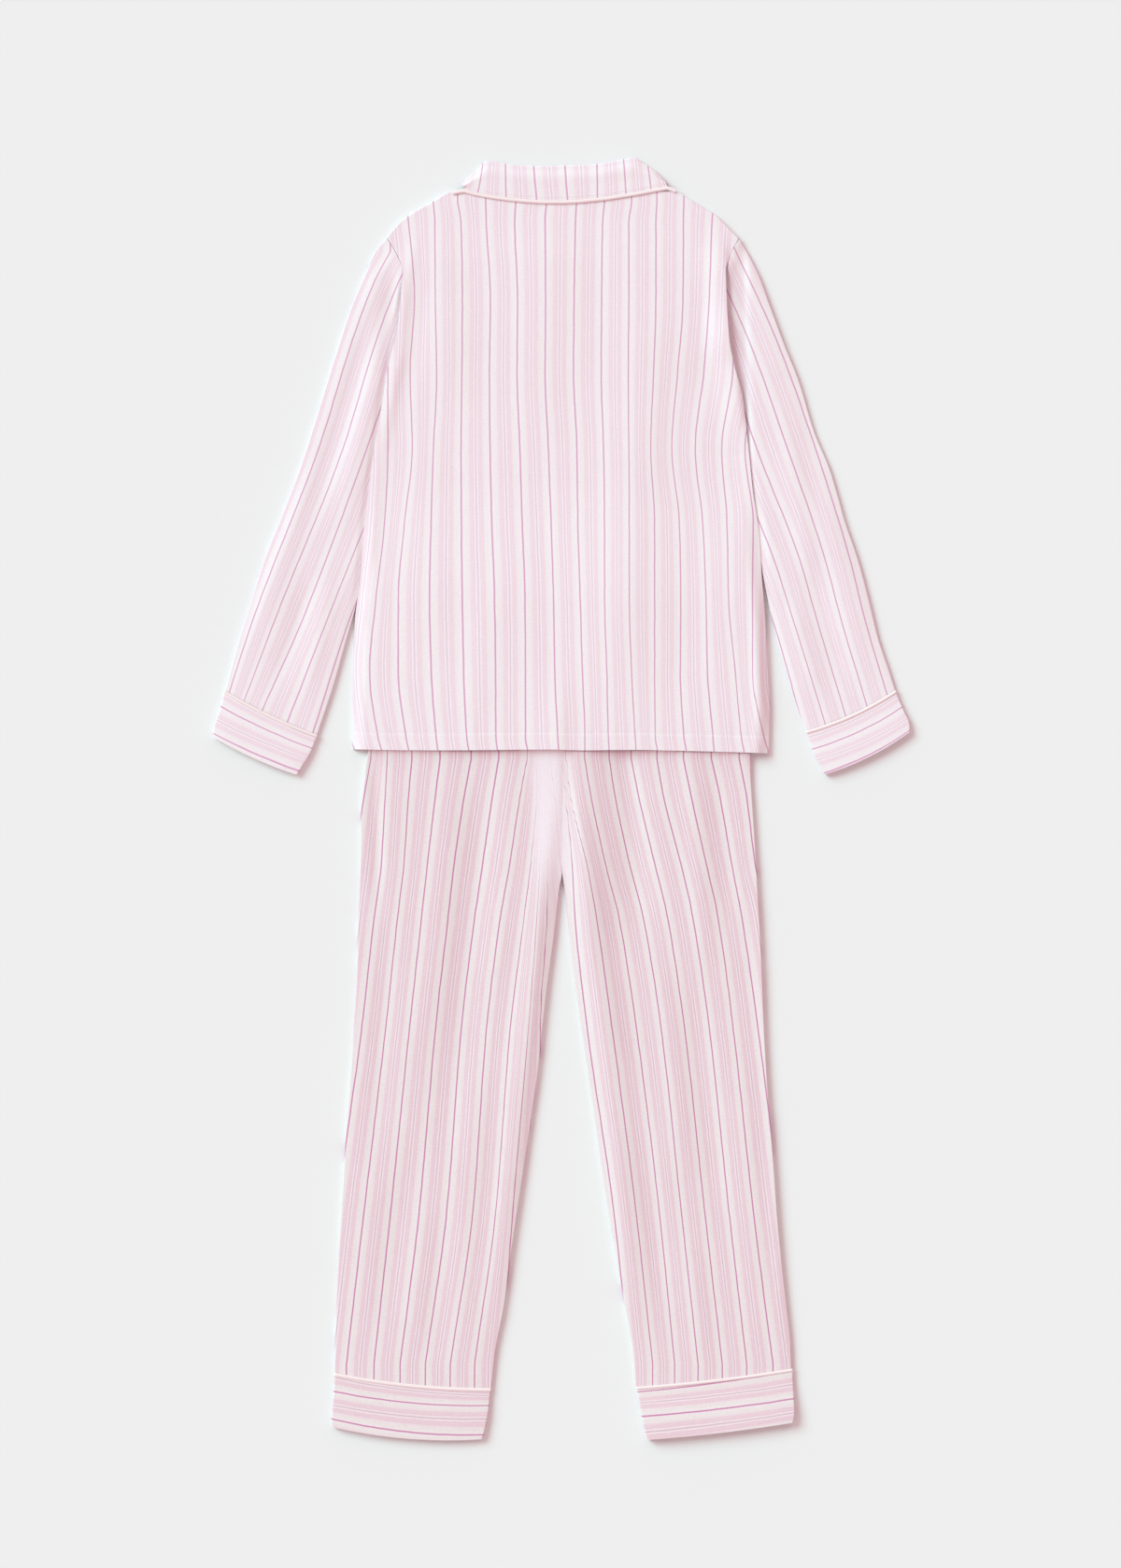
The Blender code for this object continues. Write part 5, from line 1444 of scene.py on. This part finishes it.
def leg_pieces(side, rows, seam_row, stripe_rows, creases):
    """A leg's back and its front, which is plain and a little narrower."""

    def outer(y):
        return read(rows, "y", "outer", y)

    def inner(y):
        return read(rows, "y", "inner", y)

    def height(x, y):
        share = np.clip((x - outer(y)) / (inner(y) - outer(y)), 0.0, 1.0)
        crown = LEG_CROWN + (HIDDEN_CROWN - LEG_CROWN) * soft_step(SHIRT_HEM - HIDDEN_RAMP, SHIRT_HEM, y)
        arch = crown * (1.0 - (2.0 * share - 1.0) ** 4)
        above_hem = y - hem_line(x)
        covered = soft_step(HEM_COVER, FRONT_HEM_INSET, above_hem)
        swell = HEM_SWELL * (1.0 - covered) * np.exp(np.minimum(above_hem, 0.0) / HEM_REACH)
        return LEG_EDGE_HEIGHT + arch + swell + crease_height(creases, x, y)

    is_left = side == "left"
    outset = PLATE_INSET if is_left else -PLATE_INSET

    def plate_outer(y):
        return outer(y) + outset

    def plate_inner(y):
        return inner(y) - outset * crotch_fold(y)

    def top(x):
        return np.full_like(x, LEG_TOP)

    def across(outer_side, inner_side):
        return (outer_side, inner_side) if is_left else (inner_side, outer_side)

    back = panel_piece(f"trouser_back_{side}_cloth", Panel(
        *across(outer, inner), ankle_line(seam_row), top, *across(whole, crotch_fold), none, height,
        (0.0, 1.0, 2.5),
    ), LEG_WIDTH, LEG_LENGTH, stripe_rows, trouser_finish)
    front = panel_piece(f"trouser_front_{side}_cloth", Panel(
        *across(plate_outer, plate_inner), ankle_line(seam_row), top, none, none, none,
        lambda x, y: np.full_like(x, CLOTH), (0.0, 2.0),
    ), LEG_WIDTH, LEG_LENGTH, stripe_rows, trouser_finish, HIDDEN_STEP)
    for piece, node in ((back, f"trouser_back_{side}"), (front, f"trouser_front_{side}")):
        paint_seat_highlight(piece)
        fasten(piece, node)


leg_pieces("left", LEG_LEFT, LEG_SEAM_LEFT[0], LEG_LEFT_STRIPES, LEG_LEFT_CREASES)
leg_pieces("right", LEG_RIGHT, LEG_SEAM_RIGHT[0], LEG_RIGHT_STRIPES, LEG_RIGHT_CREASES)

# Leg cuffs and their piping
# Bands of the same cotton as the legs, cut with their stripes round the ankle and folded in two. The
# same piping as on the sleeves is caught in the seams between them and the legs.
LEG_CUFF_TILT = 0.14
LEG_CUFF_LEFT = (
    Band(-230.3, -587, -71.7, -602.7, 3.8),
    Band(-231.8, -612.3, -73.6, -621.8, 4.4),
    Band(-233.4, -631.3, -77.9, -643.6, 5),
    Band(-231.8, -638.5, -80.3, -650.6, 5.4),
)
LEG_CUFF_RIGHT = (
    Band(235.5, -582.2, 77.2, -600.7, 1.7),
    Band(236.5, -602.8, 80.3, -617, 1.7),
    Band(237.5, -623.7, 84.1, -638.9, 1.6),
    Band(235.6, -633.6, 87.9, -651, 1.5),
)
cuffs("leg", trouser_finish, LEG_CUFF_TILT, (
    ("left", -1.0, LEG_CUFF_LEFT, LEG_SEAM_LEFT, 15.0, 28.0, 1.5),
    ("right", 1.0, LEG_CUFF_RIGHT, LEG_SEAM_RIGHT, 27.0, 28.5, 4.0),
))

# Waistband
# A casing of the striped cotton round an elastic, sewn to the tops of the legs. It is pressed flat
# under the shirt and hidden.
WAISTBAND_HEIGHT = 4.8
WAISTBAND_LINES = 12
WAISTBAND = tuple(
    Band(-WAIST_HALF_WIDTH + SEAT_X, y, WAIST_HALF_WIDTH + SEAT_X, y, 0)
    for y in (WAISTBAND_TOP, WAISTBAND_TOP - WAISTBAND_DEPTH / 2.0, WAISTBAND_TOP - WAISTBAND_DEPTH)
)
outer, inner, bow, places = band_columns(WAISTBAND, WAISTBAND_LINES)
points, under = tube_points(
    outer, inner, bow, 1.0, band_height(WAISTBAND_HEIGHT, HIDDEN_CROWN), step=HIDDEN_STEP,
)
numbers = stripe_number(LEG_RIGHT_STRIPES, points[:, :, 0], points[:, :, 1])
waistband = cloth_piece(
    "waistband_cloth", points, *ring_map(numbers, places * MM, under), striped_finish, ring=True,
)
fasten(waistband, "waistband")
